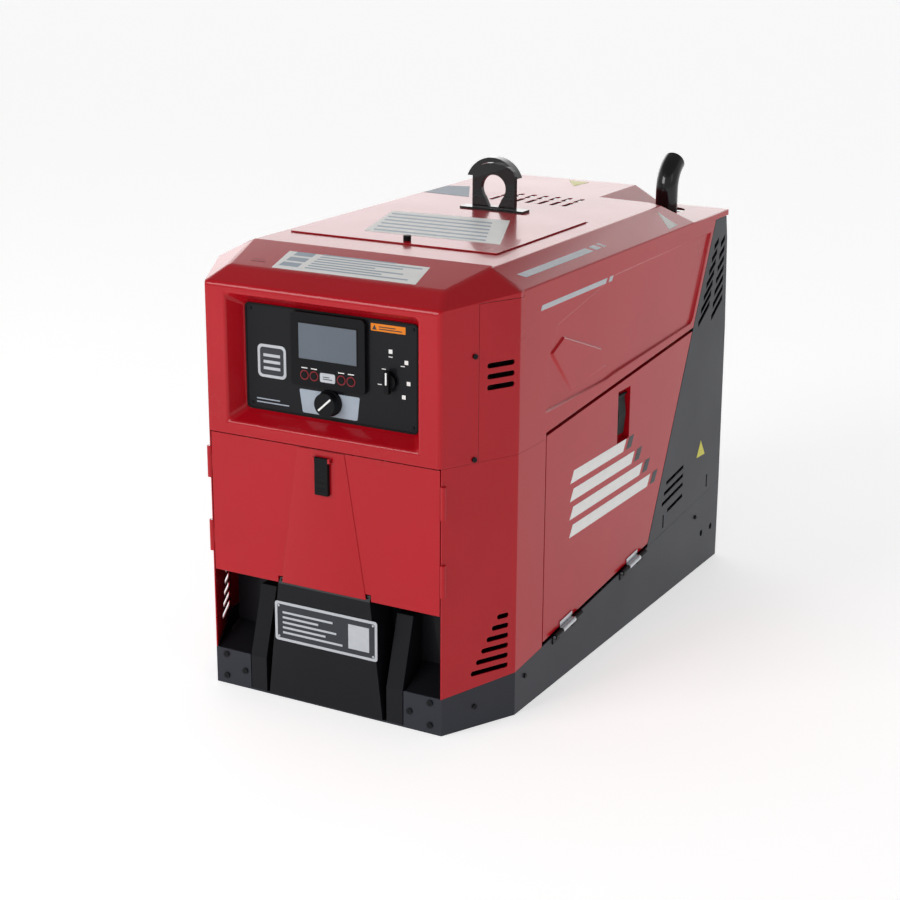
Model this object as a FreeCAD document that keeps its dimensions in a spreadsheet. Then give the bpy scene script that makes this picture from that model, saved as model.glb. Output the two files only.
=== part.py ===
import FreeCAD, Part
import math
import os
import Sketcher
from FreeCAD import Vector

# Engine driven welder: a petrol engine, a generator and a welding inverter in one sheet metal case.
# X runs to the right as seen from the control panel, -Y is the front, Z is up.
# The origin is on the ground under the middle of the case. All sizes are millimetres.

doc = FreeCAD.newDocument("EngineDrivenWelder")
table = doc.addObject("Spreadsheet::Sheet", "Sizes")

SIZES = {
    # the case as a whole
    "body_length": 1074, "body_width": 600, "front_width": 464, "facet_depth": 138,
    "wall_top": 749, "roof_top": 781, "roof_chamfer": 61, "case_sheet": 2, "panel_gap": 2,
    # base tray
    "base_front_height": 67, "base_rear_height": 167, "base_sheet": 3, "base_notch_width": 316,
    "base_hole_radius": 7, "base_hole_height": 74, "base_hole_inset": 36, "base_hole_pitch": 52,
    # cable recess under the front door
    "recess_depth": 67, "recess_floor_drop": 33, "recess_top": 238, "liner_sheet": 2,
    "liner_gap": 0.5, "liner_side_gap": 2, "liner_drop": 1,
    "centre_bottom_width": 234, "centre_top_width": 184, "centre_top": 226, "centre_proud": 2,
    "brace_width": 32, "brace_spread": 280, "brace_knee": 66, "brace_top": 190, "brace_lean": 37,
    "floor_clearance": 0.3,
    # corner panels
    "corner_top": 473.7, "post_end": -297, "corner_slot_height": 9, "corner_slot_pitch": 18.4,
    "corner_slot_low": 99, "corner_slot_right": 138, "corner_slot_left": 60, "corner_slot_step": 10.8,
    "corner_slots": 6,
    # upper case: front shell and roof shell
    "shell_bottom": 474, "shell_proud": 4, "hood_lip_height": 735, "hood_crease_depth": 46,
    "hood_crease_height": 759, "hood_depth": 153, "hood_seam_height": 740, "facet_seam": 71, "seam_gap": 0.8,
    "wing_slot_left": 88, "wing_slot_right": 143, "wing_slot_low": 597.5, "wing_slots": 3,
    "case_rear_inset": 17, "deck_front": 338, "notch_wall_top": 92, "notch_wall_foot": 150,
    "notch_inner_back": 8, "notch_step_in": 33, "notch_step_front": 6, "notch_hip_front": 27,
    "notch_side_back": 10,
    "roof_slot_length": 45, "roof_slot_width": 10, "roof_slot_pitch": 26.5,
    "roof_slot_rear": 276, "roof_slot_row_gap": 50, "roof_slot_columns": 7,
    # recess for the control panel
    "mouth_width": 380, "mouth_bottom": 496, "mouth_top": 722, "pan_width": 343, "pan_bottom": 514,
    "pan_top": 703, "pan_depth": 36, "pan_ledge": 9,
    # control panel
    "plate_width": 339, "plate_height": 185, "plate_thick": 3, "plate_corner": 8,
    "display_width": 146, "display_height": 127, "display_proud": 8, "display_margin": 3,
    "screen_width": 114, "screen_height": 63, "screen_thick": 2, "screen_drop": 17, "screen_fit": 0.2,
    "button_radius": 6, "button_proud": 2, "button_depth": 4, "button_height": 20, "button_travel": 1.5,
    "button_inner": 27, "button_outer": 46, "button_fit": 0.3, "button_room": 1.5,
    "encoder_height": 31, "encoder_radius": 21, "encoder_skirt": 23, "encoder_length": 20, "knob_draft": 1,
    "knob_gap": 0.4, "knob_stem": 4, "stem_fit": 0.05,
    "switch_x": 117, "switch_height": 84, "switch_radius": 13, "switch_length": 14, "lever_length": 38,
    "lever_width": 9,
    # front door
    "door_bottom": 217, "door_top_edge": 471, "door_notch_width": 189, "door_notch_rise": 12,
    "door_flange": 12,
    "door_side_gap": 4, "barrel_radius": 5, "barrel_length": 57, "barrel_low": 251, "barrel_rise": 136,
    "barrel_middle": 27, "barrel_gap": 0.3, "pin_radius": 2, "pin_fit": 0.05, "swing_gap": 1.5,
    "hinge_out": 1.5,
    "latch_width": 26, "latch_length": 66, "latch_top": 460, "latch_x": 3, "latch_thick": 8,
    "latch_pin_radius": 1.5, "latch_ear": 4, "latch_stand_off": 1,
    # side doors
    "side_door_front": -294, "side_door_rise": 8, "side_door_top": 478, "side_door_slope": 0.0787,
    "side_door_depth": 14, "door_gap": 3, "wing_gap": 7, "slant_foot": 167, "slant_foot_height": 141,
    "slant_lean": 0.482, "tub_y": 28, "tub_z": 436, "tub_width": 54, "tub_height": 100, "tub_depth": 14,
    "grip_width": 32, "grip_height": 76, "grip_thick": 5, "grip_gap": 2, "grip_bow": 4,
    "grip_pivot_out": 1, "grip_pivot_drop": 13.5, "grip_hub_wall": 2, "hinge_pin_proud": 2,
    "side_hinge_first": -203, "side_hinge_pitch": 290, "side_barrel_length": 109, "side_barrel_middle": 50,
    "side_barrel_radius": 5, "side_pin_radius": 2.5, "side_axis_out": 5.3, "side_axis_lift": 2,
    "hinge_leaf": 2, "leaf_height": 16,
    # rear panels
    "rear_top": 737, "rear_knee_height": 500, "rear_knee_inset": 6, "rear_shoulder_height": 690,
    "rear_shoulder_inset": 18, "rear_top_inset": 27, "louvre_height": 8, "louvre_pitch": 20,
    "louvre_low": 180, "louvre_right": 335, "louvre_slope": 0.14, "vent_pitch": 24, "vent_low": 536,
    "vent_rise": 0.6, "vent_width": 12, "vent_rows": 7, "grille_slot": 10, "grille_pitch": 26,
    "grille_low": 240, "grille_count": 15, "grille_half": 220, "tall_slot": 6, "tall_slot_height": 28,
    # top access cover
    "cover_x": -13, "cover_width": 418, "cover_front": -288, "cover_length": 352, "cover_overlap": 14,
    "cover_lift": 0.4, "cover_axis_drop": 3.5, "cover_axis_inset": 1, "cover_swing": 7, "cover_pin": 1.5,
    "cover_lug": 8, "lug_reach": 10, "lug_half": 4, "lug_side_gap": 1, "lug_notch": 3,
    "lug_notch_gap": 0.6, "cover_lug_spread": 200, "cover_flange": 10,
    "thumb_radius": 7, "thumb_height": 9, "thumb_inset": 22, "thumb_x": 7, "thumb_stem": 3, "thumb_reach": 6,
    # lifting gear
    "lift_x": -15, "lift_y": 100, "lift_thick": 10, "lift_width": 91, "lift_shoulder": 848,
    "lift_crown": 871, "eye_radius": 26, "eye_height": 823, "eye_foot": 788,
    "throat_top_half": 25.2, "throat_foot_half": 10.4, "throat_drop": 6, "lift_flange_width": 135,
    "lift_flange_depth": 30, "lift_flange_thick": 4, "saddle_depth": 22, "saddle_top": 880,
    "saddle_thick": 9, "saddle_shift": 8, "saddle_drop": 37,
    "leg_inset": 50, "leg_width": 30, "leg_depth": 30, "beam_height": 34, "leg_drop": 5,
    "riser_half": 100, "crossbar_top": 549,
    "crossbar_height": 30, "frame_gap": 0.3,
    # exhaust
    "pipe_x": 197, "pipe_y": 440, "pipe_radius": 22, "pipe_wall": 2, "pipe_bend": 60,
    "pipe_straight_top": 790,
    "pipe_turn": 62, "deck_hole_radius": 34, "deck_hole_y": 450, "muffler_radius": 70, "muffler_height": 560,
    "muffler_length": 420, "muffler_x": 20, "collar_rise": 76, "collar_wall": 4, "inlet_length": 90,
    "seam_lip": 2, "seam_width": 6, "strap_half_width": 15, "strap_half_depth": 8, "strap_inset": 60,
    # engine
    "shaft_height": 330, "shaft_radius": 18, "shaft_fit": 0.3, "shaft_front": -222, "shaft_rear": 352,
    "case_front": 70, "case_length": 210, "case_width": 220, "case_low": 130, "case_rise": 100,
    "foot_height": 62, "foot_width": 50, "foot_lap": 15, "foot_spread": 220, "mount_radius": 24,
    "barrel_bore_angle": 45,
    "cylinder_radius": 42, "fin_radius": 62, "fin_thick": 3, "fin_pitch": 9, "fin_count": 12,
    "cylinder_start": 112, "cylinder_length": 120, "head_size": 110, "head_length": 38,
    "cylinder_clear": 3, "cylinder_stagger": 32, "adapter_wall": 15, "engine_mount_y": 175,
    "fan_radius": 120, "fan_thick": 8, "fan_blade": 22, "fan_blades": 12, "fan_y": 300, "fan_hub": 30,
    "fan_wall": 3,
    "blower_radius": 135, "blower_depth": 70, "blower_inlet": 80, "blower_wall": 3,
    "air_radius": 60, "air_length": 200, "air_height": 640, "air_y": 185, "air_neck": 26, "filter_radius": 38,
    "filter_length": 80, "filter_height": 270, "filter_y": 140, "starter_radius": 34, "starter_length": 120,
    "starter_height": 265, "starter_y": 130, "solenoid_radius": 16,
    # generator
    "stator_radius": 140, "stator_bore": 102, "stator_front": -215, "stator_length": 235, "rotor_radius": 98,
    "rotor_length": 200, "rotor_front": -200, "adapter_radius": 120, "stator_wall": 6,
    "stator_foot_gap": 15, "stator_foot_lap": 8, "stator_mount_y": -100,
    # bulkhead, tank, battery, inverter
    "bulkhead_y": -240, "bulkhead_inset": 30, "bulkhead_top": 735, "shelf_inset": 65,
    "tank_x": -95, "tank_width": 270, "tank_front": -222, "tank_length": 290, "tank_height": 165,
    "tank_corner": 25, "neck_radius": 32, "neck_height": 30, "neck_x": -95, "neck_y": -110,
    "cap_radius": 40, "cap_height": 14, "cap_skirt": 20, "thread_fit": 0.3,
    "battery_inset": 100, "battery_width": 150, "battery_front": -215,
    "battery_length": 185, "battery_height": 165,
    "post_radius": 8, "post_height": 14, "post_inset": 25,
    "inverter_width": 360, "inverter_height": 200, "inverter_low": 485, "inverter_depth": 150,
    "sink_plate": 12, "sink_fin": 3, "sink_pitch": 12, "sink_depth": 60,
    # output panel
    "output_top": 470, "output_half": 222, "output_sheet": 2,
    "stud_radius": 8, "stud_length": 42, "stud_pitch": 70, "stud_height": 290, "stud_collar": 16,
    "stud_reach": 25.2,
    "outlet_radius": 29, "outlet_proud": 14, "outlet_height": 385, "outlet_x": 150,
    "duplex_width": 34, "duplex_height": 68, "duplex_x": 45,
    "breaker_radius": 6, "breaker_height": 430, "breaker_x": 95, "breaker_proud": 12, "breaker_travel": 4,
    "breaker_fit": 0.3, "breaker_bush": 11,
    # screws
    "screw_radius": 5.5, "screw_head": 3, "plate_screw_radius": 3.3, "small_screw_radius": 4.4,
    "plate_screw_inset": 9.5,
}

# Places of small things that repeat, as plain lists.
# left end of each louvre in the rear side panel, from the lowest up
LOUVRE_LEFT = (258, 229, 238, 248)
# (y, low end) of the two upright drain slots in the rear side panel
TALL_SLOTS = ((239, 149), (466, 171))
# (x, z) of the screws in the base blocks, (place along the facet, z), and (y, z) on the sides
BASE_SCREWS = ((210, 57), (210, 16), (170, 33))
FACET_SCREWS = ((63, 480), (63, 654), (68, 38))
SIDE_SCREWS = ((-362, 60), (412, 120))
CROWN_STEPS = 8


class Size:
    """A length that knows its number and the formula that ties it to the sheet."""

    def __init__(self, number, text):
        self.number = float(number)
        self.text = text

    def joined(self, sign, other, number, swap=False):
        other_text = other.text if isinstance(other, Size) else "%.6f" % other
        first, second = (other_text, self.text) if swap else (self.text, other_text)
        return Size(number, "(%s %s %s)" % (first, sign, second))

    def __float__(self):
        return self.number

    def __add__(self, other):
        return self.joined("+", other, self.number + float(other))

    def __radd__(self, other):
        return self.joined("+", other, self.number + float(other), True)

    def __sub__(self, other):
        return self.joined("-", other, self.number - float(other))

    def __rsub__(self, other):
        return self.joined("-", other, float(other) - self.number, True)

    def __mul__(self, other):
        return self.joined("*", other, self.number * float(other))

    def __rmul__(self, other):
        return self.joined("*", other, self.number * float(other), True)

    def __truediv__(self, other):
        return self.joined("/", other, self.number / float(other))

    def __neg__(self):
        return Size(-self.number, "(-1 * %s)" % self.text)


def root(length):
    """Square root of a size."""
    return Size(math.sqrt(length.number), "sqrt(%s)" % length.text)


def arctangent(rise, run):
    """The angle, in degrees, whose slope is rise over run."""
    slope = rise / run
    return Size(math.degrees(math.atan(slope.number)), "atan(%s)" % slope.text)


class Sizes:
    """Every named size, read as an attribute."""

    def __init__(self, values):
        for row, (name, number) in enumerate(values.items(), start=1):
            cell = "B%d" % row
            table.set("A%d" % row, name)
            table.set(cell, str(number))
            table.setAlias(cell, name)
            setattr(self, name, Size(number, "Sizes." + name))


size = Sizes(SIZES)
doc.recompute()


# ---------------------------------------------------------------- tools for making pieces

pieces = []


def bind(item, path, amount):
    """Set a property to a number, or tie it to the sheet when it is a Size."""
    if isinstance(amount, Size):
        item.setExpression(path, amount.text)


def place(item, x=0, y=0, z=0, axis=(0, 0, 1), angle=0):
    """Turn an item about an axis and move it; each part may be a Size."""
    item.Placement = FreeCAD.Placement(
        Vector(float(x), float(y), float(z)), FreeCAD.Rotation(Vector(*axis), float(angle))
    )
    bind(item, "Placement.Base.x", x)
    bind(item, "Placement.Base.y", y)
    bind(item, "Placement.Base.z", z)
    bind(item, "Placement.Rotation.Angle", angle)
    return item


def block(name, x, y, z):
    """A box between two ends on each axis, given as (low, high) pairs."""
    item = doc.addObject("Part::Box", name)
    for side, (low, high) in zip(("Length", "Width", "Height"), (x, y, z)):
        setattr(item, side, float(high) - float(low))
        bind(item, side, high - low)
    return place(item, x[0], y[0], z[0])


def rod(name, axis, x, y, z, radius, length):
    """A cylinder that starts at a point and runs along +X, +Y or +Z."""
    item = doc.addObject("Part::Cylinder", name)
    item.Radius = float(radius)
    item.Height = float(length)
    bind(item, "Radius", radius)
    bind(item, "Height", length)
    turns = {"x": ((0, 1, 0), 90), "y": ((1, 0, 0), -90), "z": ((0, 0, 1), 0)}
    turn_axis, angle = turns[axis]
    return place(item, x, y, z, turn_axis, angle)


def sketch_on(body, plane, offset):
    """An empty sketch on one of the body's own origin planes, moved along the plane's normal."""
    sketch = body.newObject("Sketcher::SketchObject", body.Name + "_sketch")
    support = [face for face in body.Origin.OriginFeatures if face.Role == plane + "_Plane"][0]
    sketch.AttachmentSupport = [(support, "")]
    sketch.MapMode = "FlatFace"
    sketch.AttachmentOffset = FreeCAD.Placement(Vector(0, 0, float(offset)), FreeCAD.Rotation())
    bind(sketch, "AttachmentOffset.Base.z", offset)
    return sketch


def draw_outline(sketch, outline):
    """A closed outline of straight lines, with each corner held from the sketch's origin."""
    count = len(outline)
    corners = [Vector(float(u), float(v), 0) for u, v in outline]
    for index in range(count):
        sketch.addGeometry(Part.LineSegment(corners[index], corners[(index + 1) % count]), False)
    for index in range(count):
        sketch.addConstraint(Sketcher.Constraint("Coincident", index, 2, (index + 1) % count, 1))
    for index, corner in enumerate(outline):
        for kind, amount in zip(("DistanceX", "DistanceY"), corner):
            number = sketch.addConstraint(Sketcher.Constraint(kind, -1, 1, index, 1, float(amount)))
            bind(sketch, "Constraints[%d]" % number, amount)


def prism(name, plane, low, high, outline):
    """A body padded from a straight-sided outline between two places on the plane's world axis."""
    body = doc.addObject("PartDesign::Body", name)
    offset = -high if plane == "XZ" else low
    sketch = sketch_on(body, plane, offset)
    draw_outline(sketch, outline)
    pad = body.newObject("PartDesign::Pad", name + "_pad")
    pad.Profile = sketch
    pad.Length = float(high) - float(low)
    bind(pad, "Length", high - low)
    sketch.Visibility = False
    return body


def turned(name, outline):
    """A body turned about Z from an outline of (radius, height) corners."""
    body = doc.addObject("PartDesign::Body", name)
    sketch = sketch_on(body, "XZ", 0)
    draw_outline(sketch, outline)
    revolution = body.newObject("PartDesign::Revolution", name + "_turn")
    revolution.Profile = sketch
    revolution.ReferenceAxis = (sketch, ["V_Axis"])
    revolution.Angle = 360
    return body


def rounded(body, radius, along):
    """Fillet every straight edge of a body that runs along the given direction."""
    doc.recompute()
    tip = body.Tip
    direction = Vector(*along)
    names = []
    for index, edge in enumerate(tip.Shape.Edges, start=1):
        if isinstance(edge.Curve, Part.Line) and abs(abs(edge.Curve.Direction.dot(direction)) - 1) < 1e-6:
            names.append("Edge%d" % index)
    fillet = body.newObject("PartDesign::Fillet", body.Name + "_fillet")
    fillet.Base = (tip, names)
    fillet.Radius = float(radius)
    bind(fillet, "Radius", radius)
    return body


def joined(name, items):
    """One solid, or one group of solids, from several; a single item is only carried along."""
    items = list(items)
    if len(items) == 1:
        holder = doc.addObject("Part::Compound", name)
        holder.Links = items
        return holder
    item = doc.addObject("Part::MultiFuse", name)
    item.Shapes = items
    item.Refine = True
    return item


def cut(name, base, *tools):
    """The base with every tool taken out of it."""
    item = doc.addObject("Part::Cut", name)
    item.Base = base
    item.Tool = tools[0] if len(tools) == 1 else joined(name + "_tools", tools)
    item.Refine = True
    return item


def common(name, *items):
    """The space that all the items share."""
    item = doc.addObject("Part::MultiCommon", name)
    item.Shapes = list(items)
    item.Refine = True
    return item


def mirrored(name, source):
    """The same piece on the other side of the machine."""
    item = doc.addObject("Part::Mirroring", name)
    item.Source = source
    item.Base = Vector(0, 0, 0)
    item.Normal = Vector(1, 0, 0)
    return item


def node(label, item):
    """Keep an item as a named piece of the machine."""
    item.Label = label
    pieces.append(item)
    return item


def slot(name, plane, depth, left, right, middle, height):
    """A round-ended slot: along the first axis of the plane, at one height, cut through the depth."""
    half = height / 2
    low, high = depth
    ends = (left + half, right - half)
    if plane == "XZ":
        parts = [block(name + "_mid", ends, depth, (middle - half, middle + half))]
        parts += [rod(name + "_end", "y", end, low, middle, half, high - low) for end in ends]
    else:
        parts = [block(name + "_mid", depth, ends, (middle - half, middle + half))]
        parts += [rod(name + "_end", "x", low, end, middle, half, high - low) for end in ends]
    return joined(name, parts)


# ---------------------------------------------------------------- places that many pieces share

half_length = size.body_length / 2
half_width = size.body_width / 2
half_front = size.front_width / 2
front_y = -half_length
rear_y = half_length
facet_y = front_y + size.facet_depth
facet_run = half_width - half_front
facet_length = root(facet_run * facet_run + size.facet_depth * size.facet_depth)
facet_angle = arctangent(size.facet_depth, facet_run)
base_slope = (size.base_rear_height - size.base_front_height) / size.body_length
base_angle = arctangent(size.base_rear_height - size.base_front_height, size.body_length)
shell_y = front_y - size.shell_proud
case_rear = rear_y - size.case_rear_inset
# how far a cutting piece reaches: right past the case, well past a sheet, or just past a face
FAR = 700
NEAR = 20
OVER = 1
leg_x = half_width - size.leg_inset
battery_left = half_width - size.battery_inset - size.battery_width / 2
stator_foot_x = battery_left - size.stator_foot_gap - size.foot_width / 2
cover_rear = size.cover_front + size.cover_length
cover_axis_y = cover_rear - size.cover_axis_inset
cover_axis_z = size.roof_top - size.cover_axis_drop


def base_top(y):
    """Height of the sloping top edge of the base at a place along the machine."""
    return size.base_front_height + (y + half_length) * base_slope


def plan(front, rear, inset):
    """Outline of the case seen from above, set in by a thickness."""
    corner_x = half_front + (front - front_y) * facet_run / size.facet_depth
    front_x = corner_x + inset * (facet_run - facet_length) / size.facet_depth
    side_y = facet_y + inset * (facet_length - size.facet_depth) / facet_run
    side_x = half_width - inset
    return [
        (-front_x, front + inset), (front_x, front + inset), (side_x, side_y),
        (side_x, rear - inset), (-side_x, rear - inset), (-side_x, side_y),
    ]


def slant_y(z):
    """Place of the slanted line between the side door and the rear side panel."""
    return size.slant_foot + (z - size.slant_foot_height) * size.slant_lean


def door_top(y):
    """Height of the top edge of the side doors."""
    return size.side_door_top + (y - size.side_door_front) * size.side_door_slope


def on_facet(item):
    """Stand an item, drawn along +X from the corner, on the right-hand facet."""
    return place(item, half_front, front_y, 0, (0, 0, 1), facet_angle)


# ---------------------------------------------------------------- base tray and the recess above it

def side_profile(name, outline, low=-half_width - NEAR, high=half_width + NEAR):
    """A prism across the machine from an outline of (y, z) corners."""
    return prism(name, "YZ", low, high, outline)


def make_base():
    """Folded tray: flat floor, walls that rise towards the rear, open at the front between two blocks."""
    tray = common(
        "base_solid",
        prism("base_plan", "XY", 0, size.base_rear_height, plan(front_y, rear_y, 0)),
        side_profile("base_side", [
            (front_y, 0), (rear_y, 0), (rear_y, size.base_rear_height), (front_y, size.base_front_height),
        ]),
    )
    hollow = prism(
        "base_hollow", "XY", size.base_sheet, size.base_rear_height + NEAR,
        plan(front_y, rear_y, size.base_sheet),
    )
    notch_half = size.base_notch_width / 2
    notch = block(
        "base_notch", (-notch_half, notch_half), (front_y - NEAR, front_y + size.base_sheet + NEAR),
        (size.base_sheet, size.base_front_height + NEAR),
    )
    holes = [
        rod(
            "base_hole", "x", -half_width - NEAR, rear_y - size.base_hole_inset - step * size.base_hole_pitch,
            size.base_hole_height, size.base_hole_radius, size.body_width + 2 * NEAR,
        )
        for step in (0, 1)
    ]
    return node("base_frame", cut("base_cut", tray, hollow, notch, *holes))


def make_liner():
    """Black sheet that closes the recess: a back wall and a sloping floor at each side."""
    wall_y = front_y + size.recess_depth
    floor_y = front_y + size.base_sheet + size.liner_gap
    knee = size.base_front_height + size.recess_floor_drop
    inner = half_front - size.liner_sheet - size.liner_side_gap
    wall = block(
        "liner_wall", (-inner, inner), (wall_y, wall_y + size.liner_sheet),
        (size.base_sheet + size.floor_clearance, size.recess_top),
    )
    floors = []
    for side in (-1, 1):
        edge = size.base_notch_width / 2 + size.liner_side_gap
        ends = sorted((side * edge, side * inner), key=float)
        floors.append(side_profile("liner_floor", [
            (floor_y, size.base_front_height - size.liner_sheet - size.liner_drop),
            (wall_y, knee - size.liner_sheet),
            (wall_y, knee), (floor_y, size.base_front_height - size.liner_drop),
        ], *ends))
    return node("recess_liner", joined("liner_joined", [wall] + floors))


def make_centre_panel():
    """Deep trapezoid cover in the middle of the recess, open at the back."""
    top = size.centre_top
    foot = size.base_sheet + size.floor_clearance
    wall = size.base_sheet
    lip = size.door_notch_rise

    def outline(inset, low):
        bottom_half = size.centre_bottom_width / 2 - inset
        top_half = size.centre_top_width / 2 - inset
        return [(-bottom_half, low), (bottom_half, low), (top_half, top - inset), (-top_half, top - inset)]

    panel_y = front_y - size.centre_proud
    back_y = front_y + size.recess_depth - size.floor_clearance
    outer = prism("centre_outer", "XZ", panel_y, back_y, outline(0, foot))
    inner = prism("centre_inner", "XZ", panel_y + wall, back_y + NEAR, outline(wall, foot + wall))
    bevel = side_profile("centre_bevel", [
        (panel_y - OVER, top - lip), (panel_y + lip / 2, top + OVER), (panel_y - OVER, top + OVER),
    ])
    return node("front_centre_panel", cut("centre_cut", outer, inner, bevel))


def make_braces():
    """Folded channels that lean back from the base to the recess wall, one each side of the centre."""
    wall = size.base_sheet
    foot = size.base_sheet + size.floor_clearance
    back_y = front_y + size.recess_depth - size.floor_clearance
    lean_y = front_y + size.brace_lean

    def outline(inset, back):
        return [
            (front_y + inset, foot + inset), (front_y + inset, size.brace_knee),
            (lean_y + inset, size.brace_top - inset), (back, size.brace_top - inset), (back, foot + inset),
        ]

    low = size.brace_spread / 2 - size.brace_width / 2
    high = low + size.brace_width
    outer = prism("brace_outer", "YZ", low, high, outline(0, back_y))
    inner = prism("brace_inner", "YZ", low + wall, high - wall, outline(wall, back_y + NEAR))
    brace = node("front_brace_right", cut("brace_cut", outer, inner))
    node("front_brace_left", mirrored("brace_mirror", brace))


# ---------------------------------------------------------------- corner panels

def facet_slots(name, count, low, pitch, left, step, right):
    """Round-ended slots up the right-hand facet, each a step longer or shorter than the one below."""
    depth = (-NEAR, NEAR)
    cuts = []
    for index in range(count):
        cuts.append(slot(
            name, "XZ", depth, left + index * step, right, low + index * pitch, size.corner_slot_height,
        ))
    return on_facet(joined(name + "_row", cuts))


hinge_x = half_front + size.hinge_out
hinge_y = front_y + size.hinge_out
knuckle_span = (size.barrel_length - size.barrel_middle) / 2 - size.barrel_gap
barrel_places = [size.barrel_low, size.barrel_low + size.barrel_rise]


def pin_bore(name, low, high, fit):
    """Space for a front hinge pin on the right-hand side."""
    return rod(name, "z", hinge_x, hinge_y, low, size.pin_radius + fit, high - low)


def make_corner_panels():
    """Lower corner sheet: the angled facet and the post beside the side door, with cooling slots.
    The left one carries the door's fixed knuckles, the right one the two keepers that match them."""
    ring = cut(
        "corner_ring",
        prism("corner_outer", "XY", size.base_sheet, size.corner_top, plan(front_y, rear_y, 0)),
        prism("corner_inner", "XY", 0, FAR + half_length, plan(front_y, rear_y, size.case_sheet)),
    )
    reach = block(
        "corner_reach", (half_front - size.case_sheet, half_width + NEAR), (front_y - NEAR, size.post_end),
        (0, size.corner_top),
    )
    gap = size.frame_gap
    below = side_profile("corner_below", [
        (front_y - NEAR, -NEAR), (rear_y, -NEAR), (rear_y, base_top(rear_y) + gap),
        (front_y - NEAR, base_top(front_y - NEAR) + gap),
    ])
    slots = facet_slots(
        "corner_slot", SIZES["corner_slots"], size.corner_slot_low, size.corner_slot_pitch,
        size.corner_slot_left, size.corner_slot_step, size.corner_slot_right,
    )
    plain = cut("corner_plain", common("corner_sheet", ring, reach), below, slots)
    room = size.barrel_radius + size.swing_gap
    knuckles = []
    windows = []
    bores = []
    for low in barrel_places:
        high = low + size.barrel_length
        for start, end in ((low, low + knuckle_span), (high - knuckle_span, high)):
            knuckles.append(rod("knuckle", "z", hinge_x, hinge_y, start, size.barrel_radius, end - start))
        windows.append(block(
            "knuckle_window", (hinge_x - room, hinge_x + room), (hinge_y - room, hinge_y + room),
            (low + knuckle_span, high - knuckle_span),
        ))
        bores.append(pin_bore("knuckle_bore", low - OVER, high + OVER, size.pin_fit))
    keepers = [
        rod("keeper", "z", hinge_x, hinge_y, low, size.barrel_radius, size.barrel_length)
        for low in barrel_places
    ]
    hinge_side = cut("corner_hinge_side", joined("corner_knuckled", [plain] + knuckles), *windows, *bores)
    node("corner_panel_right", joined("corner_keeper_side", [plain] + keepers))
    node("corner_panel_left", mirrored("corner_mirror", hinge_side))


# ---------------------------------------------------------------- front door, hinges and latch

def make_front_door():
    """Flanged sheet with a step in its lower edge, two knuckles on its left edge and ears for the latch."""
    sheet_y = front_y + size.case_sheet
    side = half_front - size.door_side_gap
    step_half = size.door_notch_width / 2
    wall = size.case_sheet

    def outline(inset):
        low = size.door_bottom + inset
        raised = low + size.door_notch_rise
        top = size.door_top_edge - inset
        return [
            (-side + inset, low), (-step_half - inset, low), (-step_half - inset, raised),
            (step_half + inset, raised), (step_half + inset, low), (side - inset, low),
            (side - inset, top), (-side + inset, top),
        ]

    outer = prism("door_outer", "XZ", front_y, front_y + size.door_flange, outline(0))
    inner = prism("door_inner", "XZ", sheet_y, front_y + size.door_flange + NEAR, outline(wall))
    pan = cut("door_pan", outer, inner)
    parts = [pan]
    bores = []
    for low in barrel_places:
        start = low + knuckle_span + size.barrel_gap
        parts.append(rod(
            "door_knuckle", "z", -hinge_x, hinge_y, start, size.barrel_radius, size.barrel_middle,
        ))
        parts.append(block(
            "door_leaf", (-hinge_x, -side + wall), (front_y, sheet_y), (start, start + size.barrel_middle),
        ))
        bores.append(rod(
            "door_bore", "z", -hinge_x, hinge_y, start - OVER, size.pin_radius + size.pin_fit,
            size.barrel_middle + 2 * OVER,
        ))
    half = size.latch_width / 2
    pivot_y = front_y - size.latch_stand_off - size.latch_thick / 2
    pivot_z = size.latch_top - size.latch_thick / 2
    for edge in (size.latch_x - half - size.latch_ear - size.frame_gap, size.latch_x + half + size.frame_gap):
        parts.append(block(
            "latch_ear", (edge, edge + size.latch_ear), (pivot_y - size.latch_thick / 2, front_y),
            (pivot_z - size.latch_thick / 2, pivot_z + size.latch_thick / 2),
        ))
    bores.append(rod(
        "latch_bore", "x", size.latch_x - size.latch_width, pivot_y, pivot_z,
        size.latch_pin_radius + size.pin_fit, 2 * size.latch_width,
    ))
    node("front_door", cut("door_cut", joined("door_joined", parts), *bores))
    paddle = block(
        "latch_paddle", (size.latch_x - half, size.latch_x + half),
        (front_y - size.latch_stand_off - size.latch_thick, front_y - size.latch_stand_off),
        (size.latch_top - size.latch_length, pivot_z),
    )
    head = rod(
        "latch_head", "x", size.latch_x - half, pivot_y, pivot_z, size.latch_thick / 2, size.latch_width,
    )
    reach = half + size.latch_ear + size.frame_gap
    pin = rod(
        "latch_pin", "x", size.latch_x - reach, pivot_y, pivot_z, size.latch_pin_radius, 2 * reach,
    )
    node("front_latch", joined("latch_joined", [paddle, head, pin]))
    node("front_hinge_pins", joined("front_pins", [
        rod("front_pin", "z", -hinge_x, hinge_y, low, size.pin_radius, size.barrel_length)
        for low in barrel_places
    ]))


# ---------------------------------------------------------------- upper case

def slab_above(name, first, second, third, sink):
    """A thick slab lying on the plane through three corners, lowered into the case by a thickness."""
    normal = (second - first).cross(third - first)
    normal.normalize()
    if normal.z < 0:
        normal = normal.negative()
    slab = doc.addObject("Part::Box", name)
    slab.Length = FAR
    slab.Width = FAR
    slab.Height = 2 * FAR
    turn = FreeCAD.Rotation(Vector(0, 0, 1), normal)
    start = first - turn.multVec(Vector(FAR / 2, FAR / 2, 0)) - normal * float(sink)
    slab.Placement = FreeCAD.Placement(start, turn)
    return slab


def vector(x, y, z):
    """A point of the case as plain numbers."""
    return Vector(float(x), float(y), float(z))


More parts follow.
